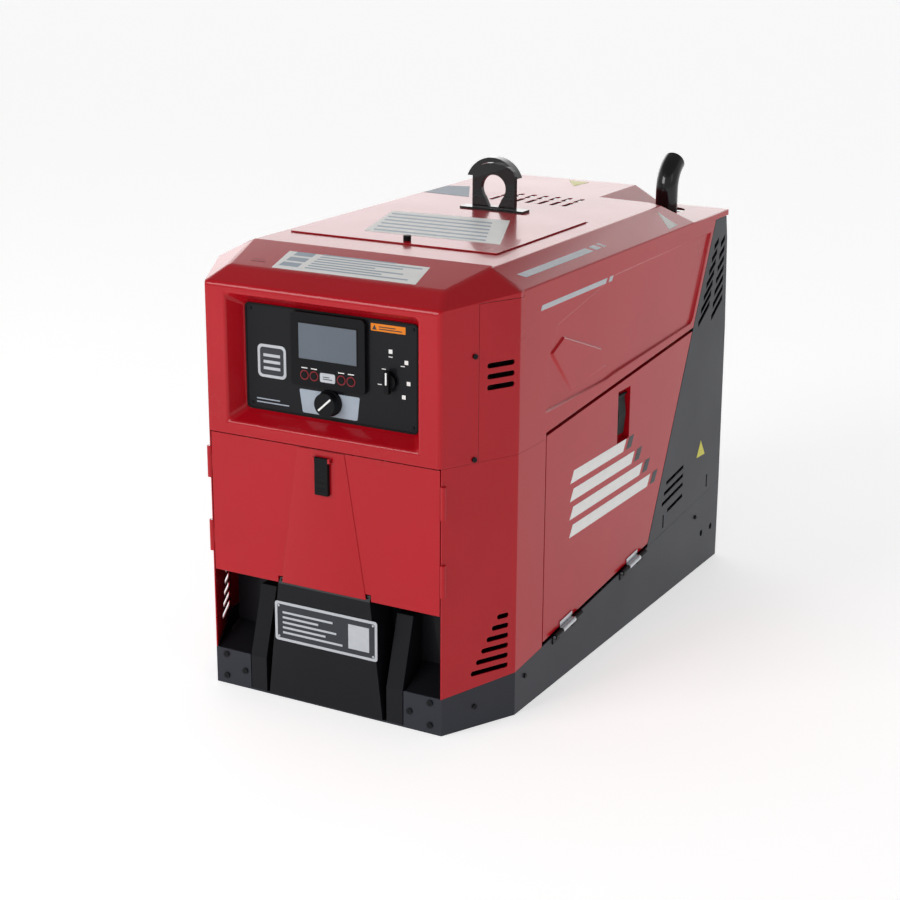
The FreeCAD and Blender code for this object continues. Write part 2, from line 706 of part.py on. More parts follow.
def canopy(name, inset, low):
    """Solid of the upper case, set in by a thickness: the hood, the roof, its chamfers and the rear deck."""
    flat = half_width - size.roof_chamfer
    run = size.roof_chamfer
    rise = size.roof_top - size.wall_top
    slope = root(run * run + rise * rise)
    side_top = size.wall_top - inset * (slope - rise) / run
    flat_edge = flat - inset * (slope - run) / rise
    flat_top = size.roof_top - inset
    crease_y = shell_y + size.hood_crease_depth
    roof_y = shell_y + size.hood_depth
    section = prism(name + "_section", "XZ", shell_y - NEAR, rear_y, [
        (-half_width + inset, low), (half_width - inset, low), (half_width - inset, side_top),
        (flat_edge, flat_top), (-flat_edge, flat_top), (-half_width + inset, side_top),
    ])
    profile = side_profile(name + "_profile", [
        (shell_y + inset, low), (case_rear - inset, low), (case_rear - inset, flat_top), (roof_y, flat_top),
        (crease_y, size.hood_crease_height - inset), (shell_y + inset, size.hood_lip_height - inset),
    ])
    around = prism(name + "_plan", "XY", low, size.roof_top + NEAR, plan(shell_y, case_rear, inset))
    slabs = []
    for side in (-1, 1):
        slabs.append(slab_above(
            name + "_corner", vector(side * flat, roof_y, size.roof_top),
            vector(side * half_width, facet_y, size.wall_top),
            vector(side * half_front, shell_y, size.hood_lip_height), inset,
        ))
    notch = common(
        name + "_notch",
        prism(name + "_notch_section", "XZ", facet_y, rear_y + NEAR, [
            (size.notch_wall_foot - inset, size.wall_top - inset),
            (size.notch_wall_top - inset, size.roof_top + OVER),
            (size.notch_wall_top - inset, size.roof_top + NEAR),
            (half_width + NEAR, size.roof_top + NEAR), (half_width + NEAR, size.wall_top - inset),
        ]),
        prism(name + "_notch_plan", "XY", low, size.roof_top + 2 * NEAR, [
            (size.notch_wall_top - 2 * NEAR, size.deck_front + size.notch_inner_back - inset),
            (flat - size.notch_step_in, size.deck_front - size.notch_step_front - inset),
            (flat, size.deck_front - size.notch_hip_front - inset),
            (half_width + NEAR, size.deck_front + size.notch_side_back - inset),
            (half_width + NEAR, rear_y + NEAR), (size.notch_wall_top - 2 * NEAR, rear_y + NEAR),
        ]),
    )
    return cut(name, common(name + "_solid", section, profile, around), notch, *slabs)


def front_region(name, gap):
    """Space taken by the front shell: the hood and the front halves of the two facets."""
    seam = size.facet_seam + gap
    cos_x = facet_run / facet_length
    sin_x = size.facet_depth / facet_length
    seam_x = half_front + seam * cos_x
    seam_y = front_y + seam * sin_x
    outside = (seam_x + NEAR * sin_x, seam_y - NEAR * cos_x)
    inside = (seam_x - 3 * NEAR * sin_x, seam_y + 3 * NEAR * cos_x)
    hood_end = shell_y + size.hood_depth + gap
    skirt = prism(name + "_skirt", "XY", size.shell_bottom - NEAR, size.hood_seam_height - gap, [
        (-half_width, shell_y - NEAR), (half_width, shell_y - NEAR), outside, inside,
        (-inside[0], inside[1]), (-outside[0], outside[1]),
    ])
    hood = block(
        name + "_hood", (-half_width - NEAR, half_width + NEAR), (shell_y - NEAR, hood_end),
        (size.hood_seam_height - gap, size.roof_top + NEAR),
    )
    return joined(name, [skirt, hood])


def wedge(name, front, back, front_box, back_box):
    """A tapered block along Y between two rectangles, each (half width, low, high)."""
    item = doc.addObject("Part::Wedge", name)
    amounts = {
        "Ymin": front, "Ymax": back,
        "Xmin": -front_box[0], "Xmax": front_box[0], "Zmin": front_box[1], "Zmax": front_box[2],
        "X2min": -back_box[0], "X2max": back_box[0], "Z2min": back_box[1], "Z2max": back_box[2],
    }
    for side, amount in amounts.items():
        setattr(item, side, float(amount))
        bind(item, side, amount)
    return item


def make_upper_case():
    """Front shell with its tapered panel recess, and the one-piece roof with side wings and rear deck."""
    sheet = size.case_sheet
    shell = cut("canopy_shell", canopy("canopy_outer", 0, size.shell_bottom),
                canopy("canopy_inner", sheet, size.shell_bottom - NEAR))
    # front shell
    mouth = (size.mouth_width / 2, size.mouth_bottom, size.mouth_top)
    pan = (size.pan_width / 2, size.pan_bottom, size.pan_top)
    back_y = shell_y + size.pan_depth
    pan_outer = wedge(
        "pan_outer", shell_y + sheet / 2, back_y + sheet,
        (mouth[0] + sheet, mouth[1] - sheet, mouth[2] + sheet),
        (pan[0] + sheet, pan[1] - sheet, pan[2] + sheet),
    )
    pan_inner = wedge("pan_inner", shell_y - OVER, back_y, mouth, pan)
    ledge = size.pan_ledge
    opening = block(
        "pan_opening", (-pan[0] + ledge, pan[0] - ledge), (back_y - OVER, back_y + 2 * sheet),
        (pan[1] + ledge, pan[2] - ledge),
    )
    front = common("front_part", shell, front_region("front_region", 0))
    with_pan = joined("front_with_pan", [front, pan_outer])
    node("front_shell", cut("front_shell_cut", with_pan, pan_inner, opening))
    # roof shell
    below_wing = side_profile("wing_below", [
        (size.post_end, size.shell_bottom - 2 * NEAR),
        (size.post_end, door_top(size.post_end) + size.wing_gap),
        (rear_y, door_top(rear_y) + size.wing_gap),
        (rear_y, size.shell_bottom - 2 * NEAR),
    ])
    rim = size.rear_top
    behind_wing = side_profile("wing_behind", [
        (slant_y(size.shell_bottom) - size.panel_gap, size.shell_bottom),
        (slant_y(rim) - size.panel_gap, rim), (rear_y + NEAR, rim), (rear_y + NEAR, size.shell_bottom),
    ])
    cover_left = size.cover_x - size.cover_width / 2 + size.cover_overlap
    cover_right = size.cover_x + size.cover_width / 2 - size.cover_overlap
    cover_front = size.cover_front + size.cover_overlap
    cover_window = block(
        "cover_window", (cover_left, cover_right), (cover_front, cover_rear + size.cover_swing),
        (size.roof_top - NEAR, size.roof_top + NEAR),
    )
    swing_left = cover_left - size.cover_overlap - size.panel_gap
    swing_right = cover_right + size.cover_overlap + size.panel_gap
    swing_window = block(
        "swing_window", (swing_left, swing_right), (cover_axis_y, cover_rear + size.cover_swing),
        (size.roof_top - NEAR, size.roof_top + NEAR),
    )
    deck_hole = rod(
        "deck_hole", "z", size.pipe_x, size.deck_hole_y, size.wall_top - NEAR, size.deck_hole_radius,
        3 * NEAR,
    )
    roof_slots = []
    half_row = (SIZES["roof_slot_columns"] - 1) / 2
    for row in (0, 1):
        middle_y = size.roof_slot_rear - row * size.roof_slot_row_gap
        for column in range(SIZES["roof_slot_columns"]):
            middle_x = (column - half_row) * size.roof_slot_pitch
            half_slot = size.roof_slot_width / 2
            straight = size.roof_slot_length / 2 - half_slot
            roof_slots.append(block(
                "roof_slot", (middle_x - half_slot, middle_x + half_slot),
                (middle_y - straight, middle_y + straight), (size.roof_top - NEAR, size.roof_top + NEAR),
            ))
            for end in (middle_y - straight, middle_y + straight):
                roof_slots.append(rod(
                    "roof_slot_end", "z", middle_x, end, size.roof_top - NEAR, half_slot, 2 * NEAR,
                ))
    wing_slots = facet_slots(
        "wing_slot", SIZES["wing_slots"], size.wing_slot_low, size.corner_slot_pitch,
        size.wing_slot_left, 0, size.wing_slot_right,
    )
    roof = cut(
        "roof_cut", shell, front_region("roof_front", size.seam_gap), below_wing, behind_wing,
        cover_window, swing_window, deck_hole, joined("roof_slots", roof_slots), wing_slots,
        mirrored("wing_slots_left", wing_slots),
    )
    lugs = []
    for side in (-1, 1):
        middle = size.cover_x + side * size.cover_lug_spread / 2
        lugs.append(block(
            "roof_lug", (middle - size.cover_lug / 2, middle + size.cover_lug / 2),
            (cover_axis_y - size.lug_half, cover_rear + size.cover_swing + size.lug_reach),
            (cover_axis_z - size.lug_half, size.roof_top - sheet),
        ))
    lug_bore = rod(
        "roof_lug_bore", "x", size.cover_x - size.cover_lug_spread, cover_axis_y, cover_axis_z,
        size.cover_pin + size.pin_fit, 2 * size.cover_lug_spread,
    )
    node("roof_shell", cut("roof_bored", joined("roof_lugged", [roof] + lugs), lug_bore))


# ---------------------------------------------------------------- top access cover

def make_top_cover():
    """Lid over the fuel filler and battery, hinged at its rear edge and held by a quarter-turn knob."""
    low = size.roof_top + size.cover_lift
    top = low + size.case_sheet
    left = size.cover_x - size.cover_width / 2
    right = size.cover_x + size.cover_width / 2
    front = size.cover_front
    plate = block("cover_plate", (left, right), (front, cover_rear), (low, top))
    inset = size.cover_overlap + size.panel_gap
    flange = size.case_sheet
    along = (front + inset, cover_rear - inset)
    drop = (low - size.cover_flange, low)
    parts = [
        plate,
        block("flange_front", (left + inset, right - inset), (front + inset, front + inset + flange), drop),
        block("flange_left", (left + inset, left + inset + flange), along, drop),
        block("flange_right", (right - inset - flange, right - inset), along, drop),
    ]
    notches = []
    for side in (-1, 1):
        middle = size.cover_x + side * (size.cover_lug_spread / 2 - size.cover_lug - size.lug_side_gap)
        parts.append(block(
            "cover_lug", (middle - size.cover_lug / 2, middle + size.cover_lug / 2),
            (cover_axis_y - size.lug_half, cover_axis_y + size.cover_axis_inset),
            (cover_axis_z - size.lug_half, low),
        ))
        fixed = size.cover_x + side * size.cover_lug_spread / 2
        reach = size.cover_lug / 2 + size.lug_notch_gap
        notches.append(block(
            "cover_notch", (fixed - reach, fixed + reach),
            (cover_axis_y - size.lug_notch, cover_rear + OVER), (low - OVER, top + OVER),
        ))
    lug_bore = rod(
        "cover_lug_bore", "x", size.cover_x - size.cover_lug_spread, cover_axis_y, cover_axis_z,
        size.cover_pin + size.pin_fit, 2 * size.cover_lug_spread,
    )
    thumb_y = front + size.thumb_inset
    thumb_hole = rod(
        "thumb_hole", "z", size.thumb_x, thumb_y, low - NEAR, size.thumb_stem + size.knob_gap, 2 * NEAR,
    )
    node("top_cover", cut("cover_cut", joined("cover_joined", parts), lug_bore, thumb_hole, *notches))
    reach = size.cover_lug_spread / 2 + size.cover_lug / 2
    node("cover_hinge_pin", rod(
        "cover_pin_rod", "x", size.cover_x - reach, cover_axis_y, cover_axis_z, size.cover_pin, 2 * reach,
    ))
    head = top + size.frame_gap
    knob = turned("thumb_turned", [
        (0, low - size.thumb_reach), (size.thumb_stem, low - size.thumb_reach),
        (size.thumb_stem, head), (size.thumb_radius, head),
        (size.thumb_radius, head + size.thumb_height), (0, head + size.thumb_height),
    ])
    node("cover_knob", place(knob, size.thumb_x, thumb_y, 0))


# ---------------------------------------------------------------- side doors, hinges and latches

def on_slope(item, lift):
    """Tip an item, drawn about the hinge line at the origin, to the slope of the base edge."""
    return place(item, half_width + size.side_axis_out, 0, lift, (1, 0, 0), base_angle)


def hinge_line():
    """Height at which the side door's hinge line crosses the middle of the machine."""
    return base_top(0) + size.side_axis_lift


def hinge_spans():
    """Start of each side hinge, measured along the hinge line."""
    first = size.side_hinge_first - size.side_barrel_length / 2
    return [first, first + size.side_hinge_pitch]


def make_side_doors():
    """Shallow pans that fill the slanted opening, with a tub for the grip and a knuckle per hinge."""
    wall = size.case_sheet
    inner_x = half_width - size.side_door_depth
    front = size.side_door_front

    def outline(inset):
        low_front = base_top(front) + size.side_door_rise + inset
        low_z = base_top(slant_y(size.slant_foot_height)) + size.side_door_rise + inset
        gap = size.door_gap + inset
        top_y = slant_y(door_top(size.slant_foot))
        top_z = door_top(top_y)
        return [
            (front + inset, low_front), (slant_y(low_z) - gap, low_z), (slant_y(top_z) - gap, top_z - inset),
            (front + inset, door_top(front) - inset),
        ]

    outer = prism("side_outer", "YZ", inner_x, half_width, outline(0))
    inner = prism("side_inner", "YZ", inner_x - NEAR, half_width - wall, outline(wall))
    tub_y = (size.tub_y - size.tub_width / 2, size.tub_y + size.tub_width / 2)
    tub_z = (size.tub_z - size.tub_height / 2, size.tub_z + size.tub_height / 2)
    tub_x = half_width - size.tub_depth
    tub = block(
        "tub_outer", (tub_x - wall, half_width - wall), (tub_y[0] - wall, tub_y[1] + wall),
        (tub_z[0] - wall, tub_z[1] + wall),
    )
    tub_space = block("tub_inner", (tub_x, half_width + OVER), tub_y, tub_z)
    parts = [cut("side_pan", outer, inner), tub]
    bores = []
    start_gap = (size.side_barrel_length - size.side_barrel_middle) / 2
    radius = size.side_barrel_radius
    for start in hinge_spans():
        low = start + start_gap
        parts.append(move_on_slope("side_knuckle_set", [
            rod("side_knuckle", "y", 0, low, 0, radius, size.side_barrel_middle),
            block(
                "side_leaf", (-size.side_axis_out, -size.side_axis_out + size.hinge_leaf),
                (low, low + size.side_barrel_middle), (0, size.leaf_height),
            ),
        ]))
        bores.append(move_on_slope("side_bore", [
            rod("side_bore_rod", "y", 0, low - OVER, 0, size.side_pin_radius + size.pin_fit,
                size.side_barrel_middle + 2 * OVER),
        ]))
    grip_pivot = tub_z[1] - size.grip_pivot_drop
    grip_axis_x = tub_x + size.grip_thick + size.grip_pivot_out
    bores.append(rod(
        "grip_bore", "y", grip_axis_x, size.tub_y - size.tub_width, grip_pivot,
        size.latch_pin_radius + size.pin_fit, 2 * size.tub_width,
    ))
    door = node("side_door_right", cut("side_cut", joined("side_joined", parts), tub_space, *bores))
    node("side_door_left", mirrored("side_mirror", door))
    # grip: a bowed lever on a cross pin near its top
    grip_x = tub_x + size.grip_gap
    grip_face = grip_x + size.grip_thick
    low = tub_z[0] + (size.tub_height - size.grip_height) / 2
    high = low + size.grip_height
    grip = prism(
        "grip_bar", "XZ", size.tub_y - size.grip_width / 2, size.tub_y + size.grip_width / 2, [
            (grip_x, low), (grip_face, low), (grip_face + size.grip_bow, (low + high) / 2),
            (grip_face, high), (grip_x, high), (grip_x + size.grip_bow, (low + high) / 2),
        ],
    )
    hub = rod(
        "grip_hub", "y", grip_axis_x, size.tub_y - size.grip_width / 2, grip_pivot,
        size.latch_pin_radius + size.grip_hub_wall, size.grip_width,
    )
    pin = rod(
        "grip_pin", "y", grip_axis_x, tub_y[0] - wall, grip_pivot, size.latch_pin_radius,
        size.tub_width + 2 * wall,
    )
    latch = node("side_latch_right", joined("grip_joined", [grip, hub, pin]))
    node("side_latch_left", mirrored("grip_mirror", latch))


def move_on_slope(name, items):
    """Several items joined and carried to the hinge line together."""
    return on_slope(joined(name, items), hinge_line())


def make_side_hinges():
    """Fixed knuckles bolted to the base, two to a door, and the bright pins through them."""
    radius = size.side_barrel_radius
    span = (size.side_barrel_length - size.side_barrel_middle) / 2 - size.barrel_gap
    knuckles = []
    pins = []
    for start in hinge_spans():
        for low in (start, start + size.side_barrel_length - span):
            outer = joined("hinge_pair", [
                rod("hinge_knuckle", "y", 0, low, 0, radius, span),
                block(
                    "hinge_leaf", (-size.side_axis_out, -size.side_axis_out + size.hinge_leaf),
                    (low, low + span), (-size.leaf_height, 0),
                ),
            ])
            bore = rod(
                "hinge_bore", "y", 0, low - OVER, 0, size.side_pin_radius + size.pin_fit, span + 2 * OVER,
            )
            knuckles.append(cut("hinge_cut", outer, bore))
        pins.append(rod(
            "side_pin", "y", 0, start - size.hinge_pin_proud, 0, size.side_pin_radius,
            size.side_barrel_length + 2 * size.hinge_pin_proud,
        ))
    right = on_slope(joined("hinges_right", knuckles), hinge_line())
    right_pins = on_slope(joined("pins_right", pins), hinge_line())
    node("side_hinges", joined("hinges_all", [right, mirrored("hinges_left", right)]))
    node("side_hinge_pins", joined("pins_all", [right_pins, mirrored("pins_left", right_pins)]))


# ---------------------------------------------------------------- rear panels

def rear_edge(inset):
    """The leaning rear outline of the case, from its foot to its top, set in by a thickness."""
    foot = base_top(rear_y) + size.frame_gap
    return [
        (rear_y - inset, foot), (rear_y - size.rear_knee_inset - inset, size.rear_knee_height),
        (rear_y - size.rear_shoulder_inset - inset, size.rear_shoulder_height),
        (rear_y - size.rear_top_inset - inset, size.rear_top - size.panel_gap / 2),
    ]


def slanted_slot(name, y, z, slope, length, height):
    """A slot through the right side that climbs towards the rear."""
    rise = length * slope
    return prism(name, "YZ", half_width - NEAR, half_width + NEAR, [
        (y, z - height / 2), (y + length, z + rise - height / 2), (y + length, z + rise + height / 2),
        (y, z + height / 2),
    ])


def make_rear_panels():
    """Grey side panels with slanted front edges and louvres, and the leaning rear panel with its grille."""
    sheet = size.case_sheet
    foot_z = base_top(size.slant_foot) + size.frame_gap
    top_z = size.rear_top - size.panel_gap / 2
    edge = rear_edge(0)
    outline = [(slant_y(foot_z), foot_z)] + edge + [(slant_y(top_z), top_z)]
    plain = prism("rear_side_plain", "YZ", half_width - sheet, half_width, outline)
    cuts = []
    for index, left in enumerate(LOUVRE_LEFT):
        z = size.louvre_low + index * size.louvre_pitch
        cuts.append(slanted_slot(
            "louvre", left, z, size.louvre_slope, size.louvre_right - left, size.louvre_height,
        ))
    for index in range(SIZES["vent_rows"]):
        z = size.vent_low + index * size.vent_pitch
        start = slant_y(z) + size.vent_width * 2
        end = rear_y - size.rear_shoulder_inset - size.vent_width
        length = (end - start) / 2 - size.vent_width / 2
        for begin in (start, start + length + size.vent_width):
            cuts.append(slanted_slot("vent", begin, z, size.vent_rise, length, size.vent_width))
    tall_half = size.tall_slot / 2
    for y, z in TALL_SLOTS:
        cuts.append(block(
            "tall_slot", (half_width - NEAR, half_width + NEAR), (y - tall_half, y + tall_half),
            (z, z + size.tall_slot_height),
        ))
    right = node("rear_side_panel_right", cut("rear_side_cut", plain, joined("rear_side_cuts", cuts)))
    node("rear_side_panel_left", mirrored("rear_side_mirror", right))
    side = half_width - sheet - size.floor_clearance
    inner = rear_edge(sheet)
    back = prism("rear_sheet", "YZ", -side, side, edge + inner[::-1])
    grille = [
        slot(
            "grille_slot", "XZ", (rear_y - 3 * NEAR, rear_y + NEAR), -size.grille_half, size.grille_half,
            size.grille_low + index * size.grille_pitch, size.grille_slot,
        )
        for index in range(SIZES["grille_count"])
    ]
    node("rear_panel", cut("rear_cut", back, joined("grille", grille)))


# ---------------------------------------------------------------- lifting gear and exhaust

def make_lift_gear():
    """Steel arch inside the case and the eye that stands on the roof above it."""
    gap = size.frame_gap
    front = size.lift_y - size.leg_depth / 2
    depth = (front, front + size.leg_depth)
    beam_top = size.roof_top - size.case_sheet - gap
    leg_top = size.wall_top - size.leg_drop
    parts = [
        block("lift_beam", (-leg_x - size.leg_width, leg_x + size.leg_width), depth,
              (leg_top - size.beam_height, leg_top)),
        block("lift_riser", (-size.riser_half, size.riser_half), depth, (leg_top - OVER, beam_top)),
        block("lift_crossbar", (-leg_x, leg_x), depth,
              (size.crossbar_top - size.crossbar_height, size.crossbar_top)),
    ]
    for low in (-leg_x - size.leg_width, leg_x):
        parts.append(block("lift_leg", (low, low + size.leg_width), depth, (size.base_sheet + gap, leg_top)))
    node("lift_frame", joined("lift_frame_joined", parts))
    x = size.lift_x
    half = size.lift_width / 2
    foot = size.roof_top + gap
    thick = size.lift_thick / 2
    crown = size.lift_crown - size.lift_shoulder
    turns = [math.pi * step / CROWN_STEPS for step in range(CROWN_STEPS + 1)]
    top = [(x + half * math.cos(turn), size.lift_shoulder + crown * math.sin(turn)) for turn in turns]
    plate = prism(
        "lift_plate", "XZ", size.lift_y - thick, size.lift_y + thick,
        [(x - half, foot), (x + half, foot)] + top,
    )
    flange = block(
        "lift_flange", (x - size.lift_flange_width / 2, x + size.lift_flange_width / 2),
        (size.lift_y - size.lift_flange_depth / 2, size.lift_y + size.lift_flange_depth / 2),
        (foot, foot + size.lift_flange_thick),
    )
    saddle_x = x - size.saddle_shift
    saddle_low = size.lift_y + thick - OVER
    saddle_high = saddle_low + size.saddle_depth
    outer = size.saddle_top - size.eye_height
    saddle = cut(
        "saddle_cut",
        rod("saddle_outer", "y", saddle_x, saddle_low, size.eye_height, outer, saddle_high - saddle_low),
        rod("saddle_inner", "y", saddle_x, saddle_low - OVER, size.eye_height, outer - size.saddle_thick,
            saddle_high - saddle_low + 2 * OVER),
        block("saddle_below", (saddle_x - 2 * outer, saddle_x + 2 * outer),
              (saddle_low - OVER, saddle_high + OVER),
              (size.eye_height - 2 * outer, size.saddle_top - size.saddle_drop)),
    )
    eye = rod("eye", "y", x, size.lift_y - NEAR, size.eye_height, size.eye_radius, 3 * NEAR)
    throat_top = size.eye_height - size.throat_drop
    throat = prism("eye_throat", "XZ", size.lift_y - NEAR, size.lift_y + thick + OVER, [
        (x - size.throat_top_half, throat_top), (x - size.throat_foot_half, size.eye_foot),
        (x + size.throat_foot_half, size.eye_foot), (x + size.throat_top_half, throat_top),
    ])
    node("lift_eye", cut("lift_eye_cut", joined("lift_eye_joined", [plate, flange, saddle]), eye, throat))


def swept_pipe(radius, extra):
    """A pipe that rises from the silencer and bends towards the rear, as Part's own sweep."""
    start = vector(size.pipe_x, size.pipe_y, size.muffler_height + size.collar_rise + size.frame_gap - extra)
    knee = vector(size.pipe_x, size.pipe_y, size.pipe_straight_top)
    bend = float(size.pipe_bend)
    turn = math.radians(float(size.pipe_turn))
    middle = knee + Vector(0, bend * (1 - math.cos(turn / 2)), bend * math.sin(turn / 2))
    end = knee + Vector(0, bend * (1 - math.cos(turn)), bend * math.sin(turn))
    edges = [Part.makeLine(start, knee), Part.Arc(knee, middle, end).toShape()]
    if extra:
        edges.append(Part.makeLine(end, end + Vector(0, math.sin(turn), math.cos(turn)) * float(extra)))
    circle = Part.Wire(Part.makeCircle(float(radius), start, Vector(0, 0, 1)))
    return Part.Wire(edges).makePipeShell([circle], True, True)


def make_exhaust():
    """Silencer across the rear of the engine bay, and the bent outlet pipe through the deck."""
    length = size.muffler_length
    left = size.muffler_x - length / 2
    can = rod("muffler_can", "x", left, size.pipe_y, size.muffler_height, size.muffler_radius, length)
    seams = [
        rod("muffler_seam", "x", end - size.seam_width / 2, size.pipe_y, size.muffler_height,
            size.muffler_radius + size.seam_lip, size.seam_width)
        for end in (left, left + length)
    ]
    hangers = [
        block(
            "muffler_strap", (middle - size.strap_half_width, middle + size.strap_half_width),
            (size.pipe_y - size.strap_half_depth, size.pipe_y + size.strap_half_depth),
            (size.base_sheet + size.frame_gap, size.muffler_height),
        )
        for middle in (left + size.strap_inset, left + length - size.strap_inset)
    ]
    inlet_y = size.pipe_y - size.muffler_radius - size.inlet_length
    inlet = rod(
        "muffler_inlet", "y", size.muffler_x - length / 4, inlet_y, size.muffler_height,
        size.pipe_radius - size.collar_wall, size.inlet_length + size.muffler_radius,
    )
    collar = rod(
        "muffler_collar", "z", size.pipe_x, size.pipe_y, size.muffler_height,
        size.pipe_radius + size.collar_wall, size.collar_rise,
    )
    node("muffler", joined("muffler_joined", [can, inlet, collar] + seams + hangers))
    pipe = doc.addObject("Part::Feature", "exhaust_sweep")
    outer = swept_pipe(size.pipe_radius, 0)
    inner = swept_pipe(size.pipe_radius - size.pipe_wall, OVER)
    pipe.Shape = outer.cut(inner)
    node("exhaust_pipe", pipe)


# ---------------------------------------------------------------- engine

def make_cylinder(name, y, angle):
    """One finned cylinder and its head, drawn upright and leaned outwards about the crankshaft."""
    base = size.cylinder_start
    parts = [rod(name + "_liner", "z", 0, 0, base, size.cylinder_radius, size.cylinder_length)]
    for index in range(SIZES["fin_count"]):
        low = base + size.fin_pitch * (index + 1)
        parts.append(rod(name + "_fin", "z", 0, 0, low, size.fin_radius, size.fin_thick))
    top = base + size.cylinder_length
    half = size.head_size / 2
    parts.append(block(name + "_head", (-half, half), (-half, half), (top, top + size.head_length)))
    return place(joined(name + "_parts", parts), 0, y, size.shaft_height, (0, 1, 0), angle)


def make_engine():
    """Air-cooled V-twin: crankcase with feet, two finned cylinders, blower, air cleaner, filter, starter."""
    half = size.case_width / 2
    front = size.case_front
    rear = front + size.case_length
    low = size.shaft_height - size.case_low
    high = size.shaft_height + size.case_rise
    seat = (size.cylinder_start - size.frame_gap) * math.sqrt(2)
    shoulder_x = seat - size.case_rise
    shoulder_z = size.shaft_height + seat - half
    case = prism("crankcase_block", "XZ", front, rear, [
        (-half, low), (half, low), (half, shoulder_z), (shoulder_x, high), (-shoulder_x, high),
        (-half, shoulder_z),
    ])
    stator_rear = size.stator_front + size.stator_length
    adapter = cut(
        "adapter_cut",
        rod("adapter", "y", 0, stator_rear + size.frame_gap, size.shaft_height, size.adapter_radius,
            front - stator_rear + OVER),
        rod("adapter_bore", "y", 0, stator_rear - OVER, size.shaft_height,
            size.adapter_radius - size.adapter_wall, front - stator_rear),
    )
    feet = [
        block("engine_foot", (middle - size.foot_width / 2, middle + size.foot_width / 2),
              (size.engine_mount_y - size.foot_width, size.engine_mount_y + size.foot_width),
              (size.foot_height, low + size.foot_lap))
        for middle in (-size.foot_spread / 2, size.foot_spread / 2)
    ]
    bore = rod("case_bore", "y", 0, front - NEAR, size.shaft_height, size.shaft_radius + size.shaft_fit,
               size.case_length + 2 * NEAR)
    node("crankcase", cut("crankcase_cut", joined("crankcase_joined", [case, adapter] + feet), bore))
    left_y = size.lift_y + size.leg_depth / 2 + size.cylinder_clear + size.fin_radius
    node("cylinder_left", make_cylinder("left", left_y, -size.barrel_bore_angle))
    node("cylinder_right", make_cylinder("right", left_y + size.cylinder_stagger, size.barrel_bore_angle))
    blower_y = rear + size.frame_gap
    wall = size.blower_wall
    node("blower_housing", cut(
        "blower_shell",
        rod("blower_outer", "y", 0, blower_y, size.shaft_height, size.blower_radius, size.blower_depth),
        rod("blower_hollow", "y", 0, blower_y + wall, size.shaft_height, size.blower_radius - wall,
            size.blower_depth - 2 * wall),
        rod("blower_inlet", "y", 0, blower_y + size.blower_depth / 2, size.shaft_height, size.blower_inlet,
            size.blower_depth),
        rod("blower_shaft_hole", "y", 0, blower_y - OVER, size.shaft_height, size.shaft_radius + wall,
            size.blower_depth / 2),
    ))
    node("air_cleaner", joined("cleaner_joined", [
        rod("cleaner_can", "x", -size.air_length / 2, size.air_y, size.air_height, size.air_radius,
            size.air_length),
        rod("cleaner_neck", "z", 0, size.air_y, high + size.frame_gap, size.air_neck, size.air_height - high),
    ]))
    node("oil_filter", rod(
        "oil_filter_can", "x", -half - size.filter_length - size.frame_gap, size.filter_y, size.filter_height,
        size.filter_radius, size.filter_length,
    ))
    starter_x = half + size.starter_radius + size.frame_gap
    node("starter_motor", joined("starter_joined", [
        rod("starter_body", "y", starter_x, size.starter_y, size.starter_height, size.starter_radius,
            size.starter_length),
        rod("starter_solenoid", "y", starter_x, size.starter_y + size.starter_radius,
            size.starter_height + size.starter_radius + size.solenoid_radius / 2, size.solenoid_radius,
            size.starter_length / 2),
    ]))


# ---------------------------------------------------------------- shaft, fan and generator

def make_rotating_parts():
    """Crankshaft that runs the length of the set, with the generator rotor and the flywheel fan on it."""
    node("crankshaft", rod(
        "crankshaft_rod", "y", 0, size.shaft_front, size.shaft_height, size.shaft_radius,
        size.shaft_rear - size.shaft_front,
    ))
    seat = size.shaft_radius + size.pin_fit

    def seat_bore(name, start, length):
        return rod(name, "y", 0, start - OVER, size.shaft_height, seat, length + 2 * OVER)

    rotor = rod(
        "rotor_core", "y", 0, size.rotor_front, size.shaft_height, size.rotor_radius, size.rotor_length,
    )
    node("generator_rotor", cut(
        "rotor_cut", rotor, seat_bore("rotor_bore", size.rotor_front, size.rotor_length),
    ))
    fan_length = size.fan_thick + size.fan_blade
    parts = [
        rod("fan_disc", "y", 0, size.fan_y, size.shaft_height, size.fan_radius, size.fan_thick),
        rod("fan_boss", "y", 0, size.fan_y, size.shaft_height, size.fan_hub, fan_length),
    ]
    for index in range(SIZES["fan_blades"]):
        blade = block(
            "fan_blade", (size.fan_hub * 2, size.fan_radius - 2), (size.fan_thick - OVER, fan_length),
            (-size.fan_wall / 2, size.fan_wall / 2),
        )
        angle = 360 / SIZES["fan_blades"] * index
        turned_blade = joined("fan_blade_turned", [blade])
        parts.append(place(turned_blade, 0, size.fan_y, size.shaft_height, (0, 1, 0), angle))
    bore = seat_bore("fan_bore", size.fan_y, fan_length)
    node("flywheel_fan", cut("fan_cut", joined("fan_joined", parts), bore))


